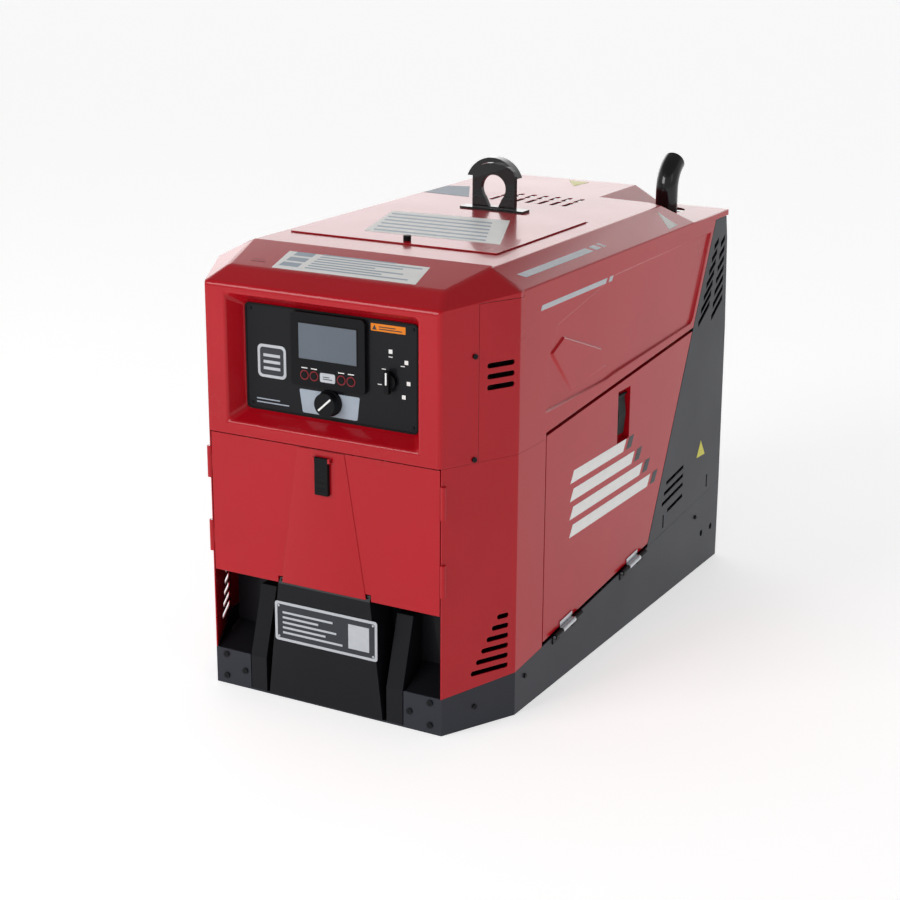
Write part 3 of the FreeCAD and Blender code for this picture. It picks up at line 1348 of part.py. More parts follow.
def make_generator():
    """Generator frame with its front bearing plate and two feet."""
    front = size.stator_front
    plate_y = front - size.stator_wall
    feet = [
        block("stator_foot", (middle - size.foot_width / 2, middle + size.foot_width / 2),
              (size.stator_mount_y - size.foot_width / 2, size.stator_mount_y + size.foot_width / 2),
              (size.foot_height, size.shaft_height - size.stator_bore + size.stator_foot_lap))
        for middle in (-stator_foot_x, stator_foot_x)
    ]
    body = joined("stator_joined", [
        rod("stator_body", "y", 0, plate_y, size.shaft_height, size.stator_radius,
            size.stator_length + size.stator_wall),
    ] + feet)
    node("generator_stator", cut(
        "stator_cut", body,
        rod("stator_space", "y", 0, front, size.shaft_height, size.stator_bore, size.stator_length + OVER),
        rod("stator_bearing", "y", 0, plate_y - OVER, size.shaft_height, size.shaft_radius + size.pin_fit,
            2 * size.stator_wall),
    ))
    gap = size.frame_gap
    mounts = []
    for x, y in ((size.foot_spread / 2, size.engine_mount_y), (stator_foot_x, size.stator_mount_y)):
        for side in (-1, 1):
            mounts.append(rod(
                "rubber_mount", "z", x * side, y, size.base_sheet + gap, size.mount_radius,
                size.foot_height - size.base_sheet - 2 * gap,
            ))
    node("rubber_mounts", joined("mounts_joined", mounts))


# ---------------------------------------------------------------- bulkhead, tank, battery, inverter

def make_inside():
    """Bulkhead with its shelf, fuel tank and cap, battery, and the inverter with its cooling fins."""
    gap = size.frame_gap
    sheet = size.case_sheet
    wall_y = size.bulkhead_y
    shelf_low = size.crossbar_top + gap
    half = half_width - size.bulkhead_inset
    node("bulkhead", joined("bulkhead_joined", [
        block("bulkhead_wall", (-half, half), (wall_y, wall_y + sheet),
              (size.base_sheet + gap, size.bulkhead_top)),
        block("tank_shelf", (-leg_x + sheet, half_width - size.shelf_inset), (wall_y, size.lift_y),
              (shelf_low, shelf_low + sheet)),
    ]))
    tank_low = shelf_low + sheet + gap
    tank_top = tank_low + size.tank_height
    tank = rounded(prism("tank_body", "XY", tank_low, tank_top, [
        (size.tank_x - size.tank_width / 2, size.tank_front),
        (size.tank_x + size.tank_width / 2, size.tank_front),
        (size.tank_x + size.tank_width / 2, size.tank_front + size.tank_length),
        (size.tank_x - size.tank_width / 2, size.tank_front + size.tank_length),
    ]), size.tank_corner, (0, 0, 1))
    neck_top = tank_top + size.neck_height
    neck = cut(
        "neck_cut",
        rod("neck", "z", size.neck_x, size.neck_y, tank_top - OVER, size.neck_radius,
            size.neck_height + OVER),
        rod("neck_bore", "z", size.neck_x, size.neck_y, tank_top, size.neck_radius - sheet,
            size.neck_height + NEAR),
    )
    node("fuel_tank", joined("tank_joined", [tank, neck]))
    skirt_low = neck_top - size.cap_skirt
    cap = turned("cap_turned", [
        (0, neck_top + gap), (size.neck_radius + size.thread_fit, neck_top + gap),
        (size.neck_radius + size.thread_fit, skirt_low), (size.cap_radius, skirt_low),
        (size.cap_radius, neck_top + size.cap_height), (0, neck_top + size.cap_height),
    ])
    node("fuel_cap", place(cap, size.neck_x, size.neck_y, 0))
    left = battery_left
    front = size.battery_front
    low = size.base_sheet + gap
    top = low + size.battery_height
    inset = size.post_inset
    node("battery", joined("battery_joined", [
        block("battery_box", (left, left + size.battery_width), (front, front + size.battery_length),
              (low, top)),
    ] + [
        rod("battery_post", "z", left + size.battery_width - inset, y, top - OVER, size.post_radius,
            size.post_height + OVER)
        for y in (front + inset, front + size.battery_length - inset)
    ]))
    width = size.inverter_width / 2
    back = wall_y - gap
    box_front = back - size.inverter_depth
    bottom = size.inverter_low
    ceiling = bottom + size.inverter_height
    parts = [
        block("inverter_box", (-width, width), (box_front, back - size.sink_depth), (bottom, ceiling)),
        block("sink_base", (-width, width),
              (back - size.sink_depth - OVER, back - size.sink_depth + size.sink_plate), (bottom, ceiling)),
    ]
    count = int(SIZES["inverter_width"] // SIZES["sink_pitch"])
    for index in range(count):
        edge = -width + index * size.sink_pitch
        parts.append(block("sink_fin", (edge, edge + size.sink_fin), (back - size.sink_depth, back),
                           (bottom, ceiling)))
    node("inverter_module", joined("inverter_joined", parts))


# ---------------------------------------------------------------- control panel

def make_controls():
    """Black plate with the display, four push buttons, the encoder knob and the engine switch."""
    plate_back = shell_y + size.pan_depth
    plate_y = plate_back - size.plate_thick
    middle_z = (size.pan_bottom + size.pan_top) / 2
    low = middle_z - size.plate_height / 2
    top = low + size.plate_height
    half = size.plate_width / 2
    plate = rounded(prism("plate_body", "XZ", plate_y, plate_back, [
        (-half, low), (half, low), (half, top), (-half, top),
    ]), size.plate_corner, (0, 1, 0))
    encoder_z = low + size.encoder_height
    switch_z = low + size.switch_height
    holes = [
        rod("stem_hole", "y", x, plate_y - NEAR, z, size.knob_stem + size.stem_fit, 2 * NEAR)
        for x, z in ((0, encoder_z), (size.switch_x, switch_z))
    ]
    node("control_plate", cut("plate_cut", plate, *holes))
    # display module with a pocket for the glass and a bore for each button
    display_top = top - size.display_margin
    display_low = display_top - size.display_height
    face_y = plate_y - size.display_proud
    wide = size.display_width / 2
    case = rounded(prism("display_body", "XZ", face_y, plate_y, [
        (-wide, display_low), (wide, display_low), (wide, display_top), (-wide, display_top),
    ]), size.plate_corner, (0, 1, 0))
    screen_half = size.screen_width / 2
    screen_top = display_top - size.screen_drop
    screen_low = screen_top - size.screen_height
    fit = size.screen_fit
    pocket = block("screen_pocket", (-screen_half - fit, screen_half + fit),
                   (face_y - OVER, face_y + size.screen_thick + fit), (screen_low - fit, screen_top + fit))
    button_z = display_low + size.button_height
    button_places = (-size.button_outer, -size.button_inner, size.button_inner, size.button_outer)
    bores = [
        rod("button_bore", "y", x, face_y - OVER, button_z, size.button_radius + size.button_fit,
            size.button_depth + size.button_travel + size.button_room)
        for x in button_places
    ]
    node("display_module", cut("display_cut", case, pocket, *bores))
    node("display_screen", block("screen_glass", (-screen_half, screen_half),
                                 (face_y, face_y + size.screen_thick), (screen_low, screen_top)))
    for index, x in enumerate(button_places, start=1):
        node("menu_button_%d" % index, rod(
            "button", "y", x, face_y - size.button_proud, button_z, size.button_radius,
            size.button_proud + size.button_depth,
        ))
    # knobs turn about Y, so each is drawn about Z and laid over with its face to the front
    gap = size.knob_gap
    length = size.encoder_length
    radius = size.encoder_radius
    knob = turned("encoder_turned", [
        (0, -size.plate_thick), (size.knob_stem, -size.plate_thick), (size.knob_stem, gap),
        (size.encoder_skirt, gap), (size.encoder_skirt, gap + size.knob_stem), (radius, length / 3),
        (radius - size.knob_draft, length), (0, length),
    ])
    node("encoder_knob", place(knob, 0, plate_y, encoder_z, (1, 0, 0), 90))
    stem = turned("switch_turned", [
        (0, -size.plate_thick), (size.knob_stem, -size.plate_thick), (size.knob_stem, gap),
        (size.switch_radius, gap), (size.switch_radius, size.switch_length / 2), (0, size.switch_length / 2),
    ])
    lever = block(
        "switch_lever", (-size.lever_width / 2, size.lever_width / 2),
        (-size.lever_length / 2, size.lever_length / 2), (size.switch_length / 3, size.switch_length),
    )
    switch = joined("switch_joined", [stem, lever])
    node("engine_switch", place(switch, size.switch_x, plate_y, switch_z, (1, 0, 0), 90))


# ---------------------------------------------------------------- output panel

def make_output():
    """Panel behind the front door with weld studs, outlets and push-to-reset breakers."""
    sheet = size.output_sheet
    back_y = front_y + size.recess_depth - size.frame_gap
    face_y = back_y - sheet
    low = size.centre_top + size.panel_gap
    panel = block("output_sheet", (-size.output_half, size.output_half), (face_y, back_y),
                  (low, size.output_top))
    studs = []
    bores = []
    for step in (-1, 0, 1):
        x = step * size.stud_pitch
        start = face_y - size.stud_reach
        studs.append(joined("stud_set", [
            rod("stud", "y", x, start, size.stud_height, size.stud_radius, size.stud_length),
            rod("stud_collar", "y", x, face_y - size.stud_radius, size.stud_height, size.stud_collar,
                size.stud_radius),
        ]))
        bores.append(rod("stud_bore", "y", x, start, size.stud_height, size.stud_radius + size.pin_fit,
                         size.stud_length + OVER))
    outlets = []
    for side in (-1, 1):
        outlets.append(rod("round_outlet", "y", side * size.outlet_x, face_y - size.outlet_proud,
                           size.outlet_height, size.outlet_radius, size.outlet_proud))
        middle = side * size.duplex_x
        outlets.append(block(
            "duplex_outlet", (middle - size.duplex_width / 2, middle + size.duplex_width / 2),
            (face_y - size.outlet_proud / 2, face_y),
            (size.outlet_height - size.duplex_height / 2, size.outlet_height + size.duplex_height / 2),
        ))
    collars = []
    for index, side in enumerate((-1, 1), start=1):
        x = side * size.breaker_x
        inside = size.breaker_travel * 2
        collars.append(rod("breaker_collar", "y", x, face_y - size.breaker_bush / 2, size.breaker_height,
                           size.breaker_bush, size.breaker_bush / 2 + sheet + inside))
        bores.append(rod("breaker_bore", "y", x, face_y - NEAR, size.breaker_height,
                         size.breaker_radius + size.breaker_fit, NEAR + sheet + inside - OVER))
        node("breaker_%d" % index, rod(
            "breaker_button", "y", x, face_y - size.breaker_proud, size.breaker_height, size.breaker_radius,
            size.breaker_proud + sheet,
        ))
    node("output_panel", cut("output_cut", joined("output_joined", [panel] + collars), *bores))
    node("output_studs", joined("studs_joined", studs))
    node("outlets", joined("outlets_joined", outlets))


# ---------------------------------------------------------------- screws

def make_screws():
    """Button-head screws that show on the base, the facets and the control plate."""
    head = size.screw_head
    radius = size.screw_radius
    plate_y = shell_y + size.pan_depth - size.plate_thick
    screws = []
    for x, z in BASE_SCREWS:
        for side in (-1, 1):
            screws.append(rod("base_screw", "y", side * x, front_y - head, z, radius, head))
    plate_half = size.plate_width / 2 - size.plate_screw_inset
    middle_z = (size.pan_bottom + size.pan_top) / 2
    plate_rise = size.plate_height / 2 - size.plate_screw_inset
    for side in (-1, 1):
        for step in (-1, 1):
            screws.append(rod("plate_screw", "y", side * plate_half, plate_y - head / 2,
                              middle_z + step * plate_rise, size.plate_screw_radius, head / 2))
    right = []
    for along, z in FACET_SCREWS:
        right.append(on_facet(joined("facet_screw", [
            rod("facet_screw_head", "y", along, -head, z, size.small_screw_radius, head),
        ])))
    for y, z in SIDE_SCREWS:
        right.append(rod("side_screw", "x", half_width, y, z, size.small_screw_radius, head))
    side_set = joined("side_screws", right)
    node("screws", joined("screws_joined", screws + [side_set, mirrored("side_screws_left", side_set)]))


# ---------------------------------------------------------------- the whole machine

def check_and_write():
    """Stop if any object failed or any piece is not a sound solid, then write one file for each piece."""
    doc.recompute()
    failed = [item.Name for item in doc.Objects if "Invalid" in item.State or "Error" in item.State]
    if failed:
        raise RuntimeError("failed objects: %s" % ", ".join(failed))
    for piece in pieces:
        if piece.Shape.isNull() or not piece.Shape.isValid() or not piece.Shape.Solids:
            raise RuntimeError("unsound piece: %s" % piece.Label)
    os.makedirs("parts", exist_ok=True)
    for piece in pieces:
        piece.Shape.exportStep("parts/%s.step" % piece.Label)
    print("%d pieces, %d solids" % (len(pieces), sum(len(piece.Shape.Solids) for piece in pieces)))


make_base()
make_liner()
make_centre_panel()
make_braces()
make_corner_panels()
make_front_door()
make_upper_case()
make_top_cover()
make_side_doors()
make_side_hinges()
make_rear_panels()
make_lift_gear()
make_exhaust()
make_engine()
make_rotating_parts()
make_generator()
make_inside()
make_controls()
make_output()
make_screws()
check_and_write()
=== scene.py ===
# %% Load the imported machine
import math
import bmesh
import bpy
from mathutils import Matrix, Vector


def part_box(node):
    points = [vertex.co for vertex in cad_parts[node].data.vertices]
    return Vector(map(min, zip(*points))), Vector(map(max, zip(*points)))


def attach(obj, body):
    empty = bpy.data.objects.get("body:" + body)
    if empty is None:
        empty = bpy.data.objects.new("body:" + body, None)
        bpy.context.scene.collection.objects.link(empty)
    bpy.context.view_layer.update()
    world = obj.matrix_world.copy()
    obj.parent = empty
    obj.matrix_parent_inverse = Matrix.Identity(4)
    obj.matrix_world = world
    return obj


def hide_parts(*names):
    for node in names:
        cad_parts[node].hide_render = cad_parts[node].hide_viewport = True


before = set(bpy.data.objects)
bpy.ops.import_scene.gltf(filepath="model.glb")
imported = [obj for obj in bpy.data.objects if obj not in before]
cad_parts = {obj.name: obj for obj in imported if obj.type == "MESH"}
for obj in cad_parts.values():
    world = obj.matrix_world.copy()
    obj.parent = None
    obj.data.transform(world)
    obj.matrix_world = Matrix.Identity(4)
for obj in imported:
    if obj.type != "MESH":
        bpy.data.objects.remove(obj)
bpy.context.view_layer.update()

# %% [markdown]
# # An engine driven welder, dressed for its portrait
# The machine arrives as a frame of plain solids: sheet metal panels, an engine, a generator and a
# control panel, each already in its place and already able to move. Nothing here moves or resizes them.
# What is added is what a draughtsman leaves out: the bends of pressed sheet, paint, print, screw heads,
# gaskets and cast surfaces. Every length below is in metres, and MM turns millimetres into them.

MM = 0.001

# %% [markdown]
# ## The camera
# A product portrait is shot with a long lens from a few metres away, so that upright edges stay nearly
# parallel. The camera could be aimed with a Track To constraint, but a matrix built from three
# directions says exactly where it looks.

# %% Camera
VIEW_TURN = math.radians(29.2)
VIEW_RISE = math.radians(17.06)
VIEW_ROLL = math.radians(0.29)
VIEW_DISTANCE = 3.634
VIEW_SLIDE = (-0.047, -0.068)
LOOK_AT = Vector((0, 0, 0.4))
LENS_MM = 75.49
SENSOR_MM = 36

back = Vector((
    math.sin(VIEW_TURN) * math.cos(VIEW_RISE),
    -math.cos(VIEW_TURN) * math.cos(VIEW_RISE),
    math.sin(VIEW_RISE),
))
level = Vector((math.cos(VIEW_TURN), math.sin(VIEW_TURN), 0))
upward = back.cross(level)
camera_place = LOOK_AT + back * VIEW_DISTANCE + level * VIEW_SLIDE[0] + upward * VIEW_SLIDE[1]
rolled_x = level * math.cos(VIEW_ROLL) + upward * math.sin(VIEW_ROLL)
rolled_y = upward * math.cos(VIEW_ROLL) - level * math.sin(VIEW_ROLL)
camera_data = bpy.data.cameras.new("portrait_camera")
camera_data.lens = LENS_MM
camera_data.sensor_width = SENSOR_MM
camera = bpy.data.objects.new("portrait_camera", camera_data)
camera_turn = Matrix((rolled_x, rolled_y, back)).transposed().to_4x4()
camera.matrix_world = Matrix.Translation(camera_place) @ camera_turn
bpy.context.scene.collection.objects.link(camera)
bpy.context.scene.camera = camera
print("camera at", [round(value, 3) for value in camera_place])

# %% [markdown]
# ## Nodes, by one small function
# Every material and the sky are node trees. One function adds a node, sets its properties and fills or
# links its sockets, so a material reads like a recipe. Colours are hex values, turned to linear ones.

# %% Node and colour helpers
def add(tree, kind, sockets=None, **settings):
    """Add one node, set its properties, then give its sockets numbers or links."""
    made = tree.nodes.new("ShaderNode" + kind)
    for name, value in settings.items():
        setattr(made, name, value)
    for socket, value in (sockets or {}).items():
        if isinstance(value, bpy.types.NodeSocket):
            tree.links.new(value, made.inputs[socket])
        else:
            made.inputs[socket].default_value = value
    return made


def colour(text):
    """Linear colour, with alpha, from an sRGB hex value."""
    parts = [int(text[start:start + 2], 16) / 255 for start in (1, 3, 5)]
    return tuple(c / 12.92 if c <= 0.04045 else ((c + 0.055) / 1.055) ** 2.4 for c in parts) + (1.0,)


# %% [markdown]
# ## The studio
# Glossy paint shows the room as much as itself. The roof, seen at a low angle, mirrors a bright wall
# behind the machine, while the tilted hood mirrors the darker ceiling and shows its true red. So the sky
# is bright only low down and behind. A large soft light in front lights the panels evenly.

# %% Sky, floor and lights
WALL_LIGHT = 0.6
BACK_LIGHT = 1.45
CEILING_LIGHT = 0.28
WALL_TOP = 0.40
CEILING_START = 0.56
BACK_STARTS = 0.55
BACK_FULL = 0.85

scene = bpy.context.scene
scene.view_settings.view_transform = "Standard"
sky = bpy.data.worlds.new("studio_sky")
sky.use_nodes = True
sky_tree = sky.node_tree
sky_tree.nodes.clear()
direction = add(sky_tree, "TexCoord")
height = add(sky_tree, "SeparateXYZ", {"Vector": direction.outputs["Generated"]})
brightness = add(sky_tree, "MapRange", {
    "Value": height.outputs["Z"], "From Min": WALL_TOP, "From Max": CEILING_START,
    "To Min": WALL_LIGHT, "To Max": CEILING_LIGHT,
}, interpolation_type="SMOOTHSTEP")
behind = Vector((-math.sin(VIEW_TURN), math.cos(VIEW_TURN), 0))
facing = add(sky_tree, "VectorMath", {0: direction.outputs["Generated"], 1: behind}, operation="DOT_PRODUCT")
back_wall = add(sky_tree, "MapRange", {
    "Value": facing.outputs["Value"], "From Min": BACK_STARTS, "From Max": BACK_FULL,
    "To Min": 0.0, "To Max": BACK_LIGHT,
}, interpolation_type="SMOOTHSTEP")
below = add(sky_tree, "MapRange", {
    "Value": height.outputs["Z"], "From Min": WALL_TOP, "From Max": CEILING_START,
    "To Min": 1.0, "To Max": 0.0,
}, interpolation_type="SMOOTHSTEP")
back_part = add(sky_tree, "Math", {
    0: back_wall.outputs["Result"], 1: below.outputs["Result"],
}, operation="MULTIPLY")
total = add(sky_tree, "Math", {
    0: brightness.outputs["Result"], 1: back_part.outputs["Value"],
}, operation="ADD")
glow = add(sky_tree, "Background", {"Color": colour("#FFFFFF"), "Strength": total.outputs["Value"]})
add(sky_tree, "OutputWorld", {"Surface": glow.outputs["Background"]})
scene.world = sky


def soft_light(name, place, aim, width, depth, watts):
    """A rectangular soft box that looks at a point."""
    data = bpy.data.lights.new(name, "AREA")
    data.shape = "RECTANGLE"
    data.size = width
    data.size_y = depth
    data.energy = watts
    lamp = bpy.data.objects.new(name, data)
    towards = (Vector(aim) - Vector(place)).to_track_quat("-Z", "Y")
    lamp.matrix_world = Matrix.Translation(place) @ towards.to_matrix().to_4x4()
    scene.collection.objects.link(lamp)


soft_light("key_light", (-1.9, -4.2, 2.6), (0, 0, 0.45), 2.4, 1.6, 88)
soft_light("fill_light", (4.6, -1.6, 2.6), (0, 0, 0.4), 1.6, 1.6, 5)

# %% [markdown]
# ## The floor
# A studio floor is a curved sheet of paper. A very wide plane does the same with no curve to model. It
# glows a little, so that the shade stays soft.

# %% Floor
FLOOR_HALF = 60
FLOOR_GLOW = 0.53
PAPER_TONE = (0.84, 0.86)

floor_mesh = bmesh.new()
bmesh.ops.create_grid(floor_mesh, x_segments=1, y_segments=1, size=FLOOR_HALF)
floor_data = bpy.data.meshes.new("studio_floor")
floor_mesh.to_mesh(floor_data)
floor_mesh.free()
floor = bpy.data.objects.new("studio_floor", floor_data)
scene.collection.objects.link(floor)
paper = bpy.data.materials.new("white_paper_floor")
paper.use_nodes = True
paper_tree = paper.node_tree
paper_tree.nodes.clear()
paper_place = add(paper_tree, "TexCoord")
paper_grain = add(paper_tree, "TexNoise", {"Vector": paper_place.outputs["Object"], "Scale": 3.0})
paper_tone = add(paper_tree, "MapRange", {
    "Value": paper_grain.outputs["Fac"], "To Min": PAPER_TONE[0], "To Max": PAPER_TONE[1],
})
paper_colour = add(paper_tree, "CombineColor", {
    channel: paper_tone.outputs["Result"] for channel in ("Red", "Green", "Blue")
})
paper_face = add(paper_tree, "BsdfPrincipled", {
    "Base Color": paper_colour.outputs["Color"], "Roughness": 0.9,
    "Emission Color": colour("#FFFFFF"), "Emission Strength": FLOOR_GLOW,
})
add(paper_tree, "OutputMaterial", {"Surface": paper_face.outputs["BSDF"]})
floor_data.materials.append(paper)
print("floor half width", FLOOR_HALF, "m")

# %% [markdown]
# ## Paint and powder
# Baked enamel flows out to a wet gloss with a slight orange peel; powder coat is a
# fine pebble of melted grains. Both are one recipe: a cloudy change of tone, a painted highlight that
# lightens the colour along every edge, a grain that bumps the surface, and a Bevel node that lets a sharp
# edge catch the light as folded sheet does.

# %% Coat recipe
EDGE_ROUND_MM = 0.9
EDGE_SAMPLES = 4
# how far the painted highlight lightens the colour along edges
EDGE_HIGHLIGHT = 0.55
BASE_SHEEN = 0.12
CLOUD_MM = 160
RED_FACE, RED_SHADE, RED_EDGE_HIGHLIGHT = "#B60D1D", "#A80A18", "#B8303A"
RED_PEEL_MM = 2.6
RED_ROUGH = 0.26
RED_COAT = 0.36
ZINC_FACE = "#C9CCD1"


def edge_mask(tree, rounded):
    """White where the rounded direction leaves the real one, which is only along edges."""
    true = add(tree, "NewGeometry").outputs["Normal"]
    same = add(tree, "VectorMath", {0: rounded, 1: true}, operation="DOT_PRODUCT")
    return add(tree, "MapRange", {
        "Value": same.outputs["Value"], "From Min": 0.995, "From Max": 0.90, "To Min": 0.0, "To Max": 1.0,
    }).outputs["Result"]


def start_material(name):
    """An empty node material and its tree."""
    material = bpy.data.materials.new(name)
    material.use_nodes = True
    material.node_tree.nodes.clear()
    return material, material.node_tree


def coated(name, face, shade, edge, grain_mm, bump, rough, coat, cloud_mm=CLOUD_MM, metallic=0.0):
    """Paint, powder, plating or a moulded skin, with cloudy tone, grain and a painted highlight along edges.
    """
    material, tree = start_material(name)
    place = add(tree, "TexCoord").outputs["Object"]
    cloud = add(tree, "TexNoise", {"Vector": place, "Scale": 1 / (cloud_mm * MM), "Detail": 3.0})
    grain = add(tree, "TexNoise", {"Vector": place, "Scale": 1 / (grain_mm * MM), "Detail": 2.0})
    tone = add(tree, "Mix", {
        "Factor": cloud.outputs["Fac"], "A": colour(face), "B": colour(shade),
    }, data_type="RGBA")
    rounded = add(tree, "Bevel", {"Radius": EDGE_ROUND_MM * MM}, samples=EDGE_SAMPLES).outputs["Normal"]
    # painted highlight: the colour turns lighter along every edge, where the rounded normal leaves the true
    # one
    painted_highlight = add(tree, "MapRange", {"Value": edge_mask(tree, rounded), "To Min": 0.0, "To Max": EDGE_HIGHLIGHT})
    skin = add(tree, "Mix", {
        "Factor": painted_highlight.outputs["Result"], "A": tone.outputs["Result"], "B": colour(edge),
    }, data_type="RGBA")
    relief = add(tree, "Bump", {
        "Strength": bump, "Distance": grain_mm * MM * 0.1, "Height": grain.outputs["Fac"], "Normal": rounded,
    })
    dull = add(tree, "MapRange", {
        "Value": cloud.outputs["Fac"], "To Min": rough * 0.85, "To Max": rough * 1.15,
    })
    shader = add(tree, "BsdfPrincipled", {
        "Base Color": skin.outputs["Result"], "Roughness": dull.outputs["Result"], "Metallic": metallic,
        "Specular IOR Level": BASE_SHEEN, "Coat Weight": coat, "Coat Roughness": 0.04, "Coat IOR": 1.5,
        "Normal": relief.outputs["Normal"], "Coat Normal": rounded,
    })
    add(tree, "OutputMaterial", {"Surface": shader.outputs["BSDF"]})
    return material


# baked enamel: wet gloss over a saturated red, with a faint orange peel a few millimetres wide
red_enamel = coated(
    "baked_enamel_red", RED_FACE, RED_SHADE, RED_EDGE_HIGHLIGHT, RED_PEEL_MM, 0.10, RED_ROUGH, RED_COAT,
)
# polyester powder coat on the base and the rear panels: blue-grey charcoal, satin, finely pebbled
charcoal_powder = coated("powder_coat_charcoal", "#30323A", "#2A2C33", "#4A4D56", 0.9, 0.35, 0.40, 0.15)
# black powder coat inside the recess and on the brackets: drawn a little coarser than life to show
black_powder = coated("powder_coat_black", "#141519", "#101115", "#2C2E33", 0.9, 0.40, 0.42, 0.1)
# gloss black enamel of the lifting eye and the exhaust
black_enamel = coated("gloss_enamel_black", "#0C0D10", "#08090B", "#2A2C31", 2.2, 0.12, 0.28, 0.7)
# moulded ABS of knobs, display housing and switches: spark-eroded texture, no gloss
black_plastic = coated("moulded_abs_black", "#131417", "#0F1012", "#2A2B2F", 0.7, 0.5, 0.5, 0.0)
# bright zinc plating of pins and brackets
zinc_plate = coated("bright_zinc_plate", ZINC_FACE, "#B4B8BE", "#E4E6E9", 1.2, 0.2, 0.28, 0.0, 40, 1.0)
print("coats:", [
    coat.name for coat in (red_enamel, charcoal_powder, black_powder, black_enamel, black_plastic, zinc_plate)
])

# %% [markdown]
# ## Engine metals, rubber and glass
# Die-cast aluminium is grainy and dull, an aluminised silencer goes straw and blue with heat, rubber is
# matt with bloom. The same recipe serves where it can; the silencer, the side doors with their bare hinge
# barrels and the display glass need a tree of their own.

# %% Metals and other finishes
# sand-cast and die-cast aluminium: grey, grainy, only half metallic because of its oxide
cast_metal = coated("die_cast_aluminium", "#9C9EA1", "#85878B", "#C4C6C8", 1.6, 0.6, 0.5, 0.0, 60, 0.85)
# machined steel of shaft and rotor
machined_steel = coated("machined_steel", "#8E8F91", "#7C7D80", "#B8B9BB", 0.8, 0.25, 0.32, 0.0, 30, 1.0)
# yellow brass of the weld studs
turned_brass = coated("turned_brass", "#BE9A52", "#A8833F", "#D8BE84", 0.8, 0.2, 0.25, 0.0, 25, 1.0)
# black rubber of the engine mounts and gaskets: matt, slightly bloomed
black_rubber = coated("moulded_rubber", "#161616", "#202021", "#2B2B2C", 1.0, 0.4, 0.8, 0.0, 20)
# rotomoulded polyethylene fuel tank: waxy, cloudy
tank_plastic = coated("rotomoulded_polyethylene", "#1D1F22", "#26282C", "#34363A", 2.4, 0.4, 0.55, 0.0, 50)
# blackened steel of button-head screws
black_oxide = coated("black_oxide_steel", "#1B1C1E", "#26272A", "#3C3D40", 0.6, 0.2, 0.38, 0.0, 12, 0.6)
# white and silver print and rivets
silver_paint = coated("silver_print", "#C4C7CC", "#B2B6BC", "#DADDE1", 0.8, 0.1, 0.35, 0.0, 20, 0.3)
white_print = coated("white_print", "#F2F2F0", "#E9E9E7", "#FFFFFF", 0.8, 0.1, 0.45, 0.0, 20)
grey_print = coated("pale_blue_grey_print", "#A9B4C0", "#9FAAB6", "#BAC4CF", 0.8, 0.1, 0.45, 0.0, 20)
red_print = coated("dull_red_print", "#8E3236", "#7C2A2E", "#A2474B", 0.8, 0.1, 0.45, 0.0, 20)
dark_print = coated("dark_grey_print", "#33363C", "#2C2F35", "#44474D", 0.8, 0.1, 0.42, 0.3, 40)
orange_print = coated("orange_label_film", "#E8871E", "#DD7C14", "#F0A04A", 0.8, 0.1, 0.4, 0.2, 20)
yellow_print = coated("yellow_label_film", "#D9D24A", "#CFC83E", "#E6E27A", 0.8, 0.1, 0.4, 0.2, 20)


def heated_steel():
    """Aluminised silencer steel: dull silver that turns straw and blue where it runs hot."""
    material, tree = start_material("heat_tinted_aluminised_steel")
    place = add(tree, "TexCoord").outputs["Object"]
    spread = add(tree, "TexNoise", {"Vector": place, "Scale": 9.0, "Detail": 4.0, "Roughness": 0.6})
    tint = add(tree, "ValToRGB", {"Fac": spread.outputs["Fac"]})
    stops = ((0.30, "#8E8B84"), (0.48, "#9A8558"), (0.60, "#5D5A6B"), (0.75, "#7F8084"))
    ramp = tint.color_ramp
    ramp.elements[0].position, ramp.elements[0].color = stops[0][0], colour(stops[0][1])
    ramp.elements[1].position, ramp.elements[1].color = stops[-1][0], colour(stops[-1][1])
    for position, tone in stops[1:-1]:
        ramp.elements.new(position).color = colour(tone)
    grain = add(tree, "TexNoise", {"Vector": place, "Scale": 600.0})
    rounded = add(tree, "Bevel", {"Radius": EDGE_ROUND_MM * MM}, samples=EDGE_SAMPLES)
    relief = add(tree, "Bump", {
        "Strength": 0.3, "Distance": 0.1 * MM, "Height": grain.outputs["Fac"],
        "Normal": rounded.outputs["Normal"],
    })
    shader = add(tree, "BsdfPrincipled", {
        "Base Color": tint.outputs["Color"], "Metallic": 0.9, "Roughness": 0.42,
        "Normal": relief.outputs["Normal"],
    })
    add(tree, "OutputMaterial", {"Surface": shader.outputs["BSDF"]})
    return material


def display_glass():
    """The cover glass of a switched-off display: grey-blue, with an even anti-glare etch."""
    material, tree = start_material("anti_glare_display_glass")
    place = add(tree, "TexCoord").outputs["Object"]
    etch = add(tree, "TexNoise", {"Vector": place, "Scale": 1 / (0.5 * MM)})
    shade = add(tree, "TexNoise", {"Vector": place, "Scale": 12.0})
    tone = add(tree, "Mix", {
        "Factor": shade.outputs["Fac"], "A": colour("#46515D"), "B": colour("#505B68"),
    }, data_type="RGBA")
    relief = add(tree, "Bump", {"Strength": 0.15, "Distance": 0.02 * MM, "Height": etch.outputs["Fac"]})
    shader = add(tree, "BsdfPrincipled", {
        "Base Color": tone.outputs["Result"], "Roughness": 0.3, "Coat Weight": 0.4, "Coat Roughness": 0.12,
        "Normal": relief.outputs["Normal"],
    })
    add(tree, "OutputMaterial", {"Surface": shader.outputs["BSDF"]})
    return material


HINGE_OUT_MM = 300.4


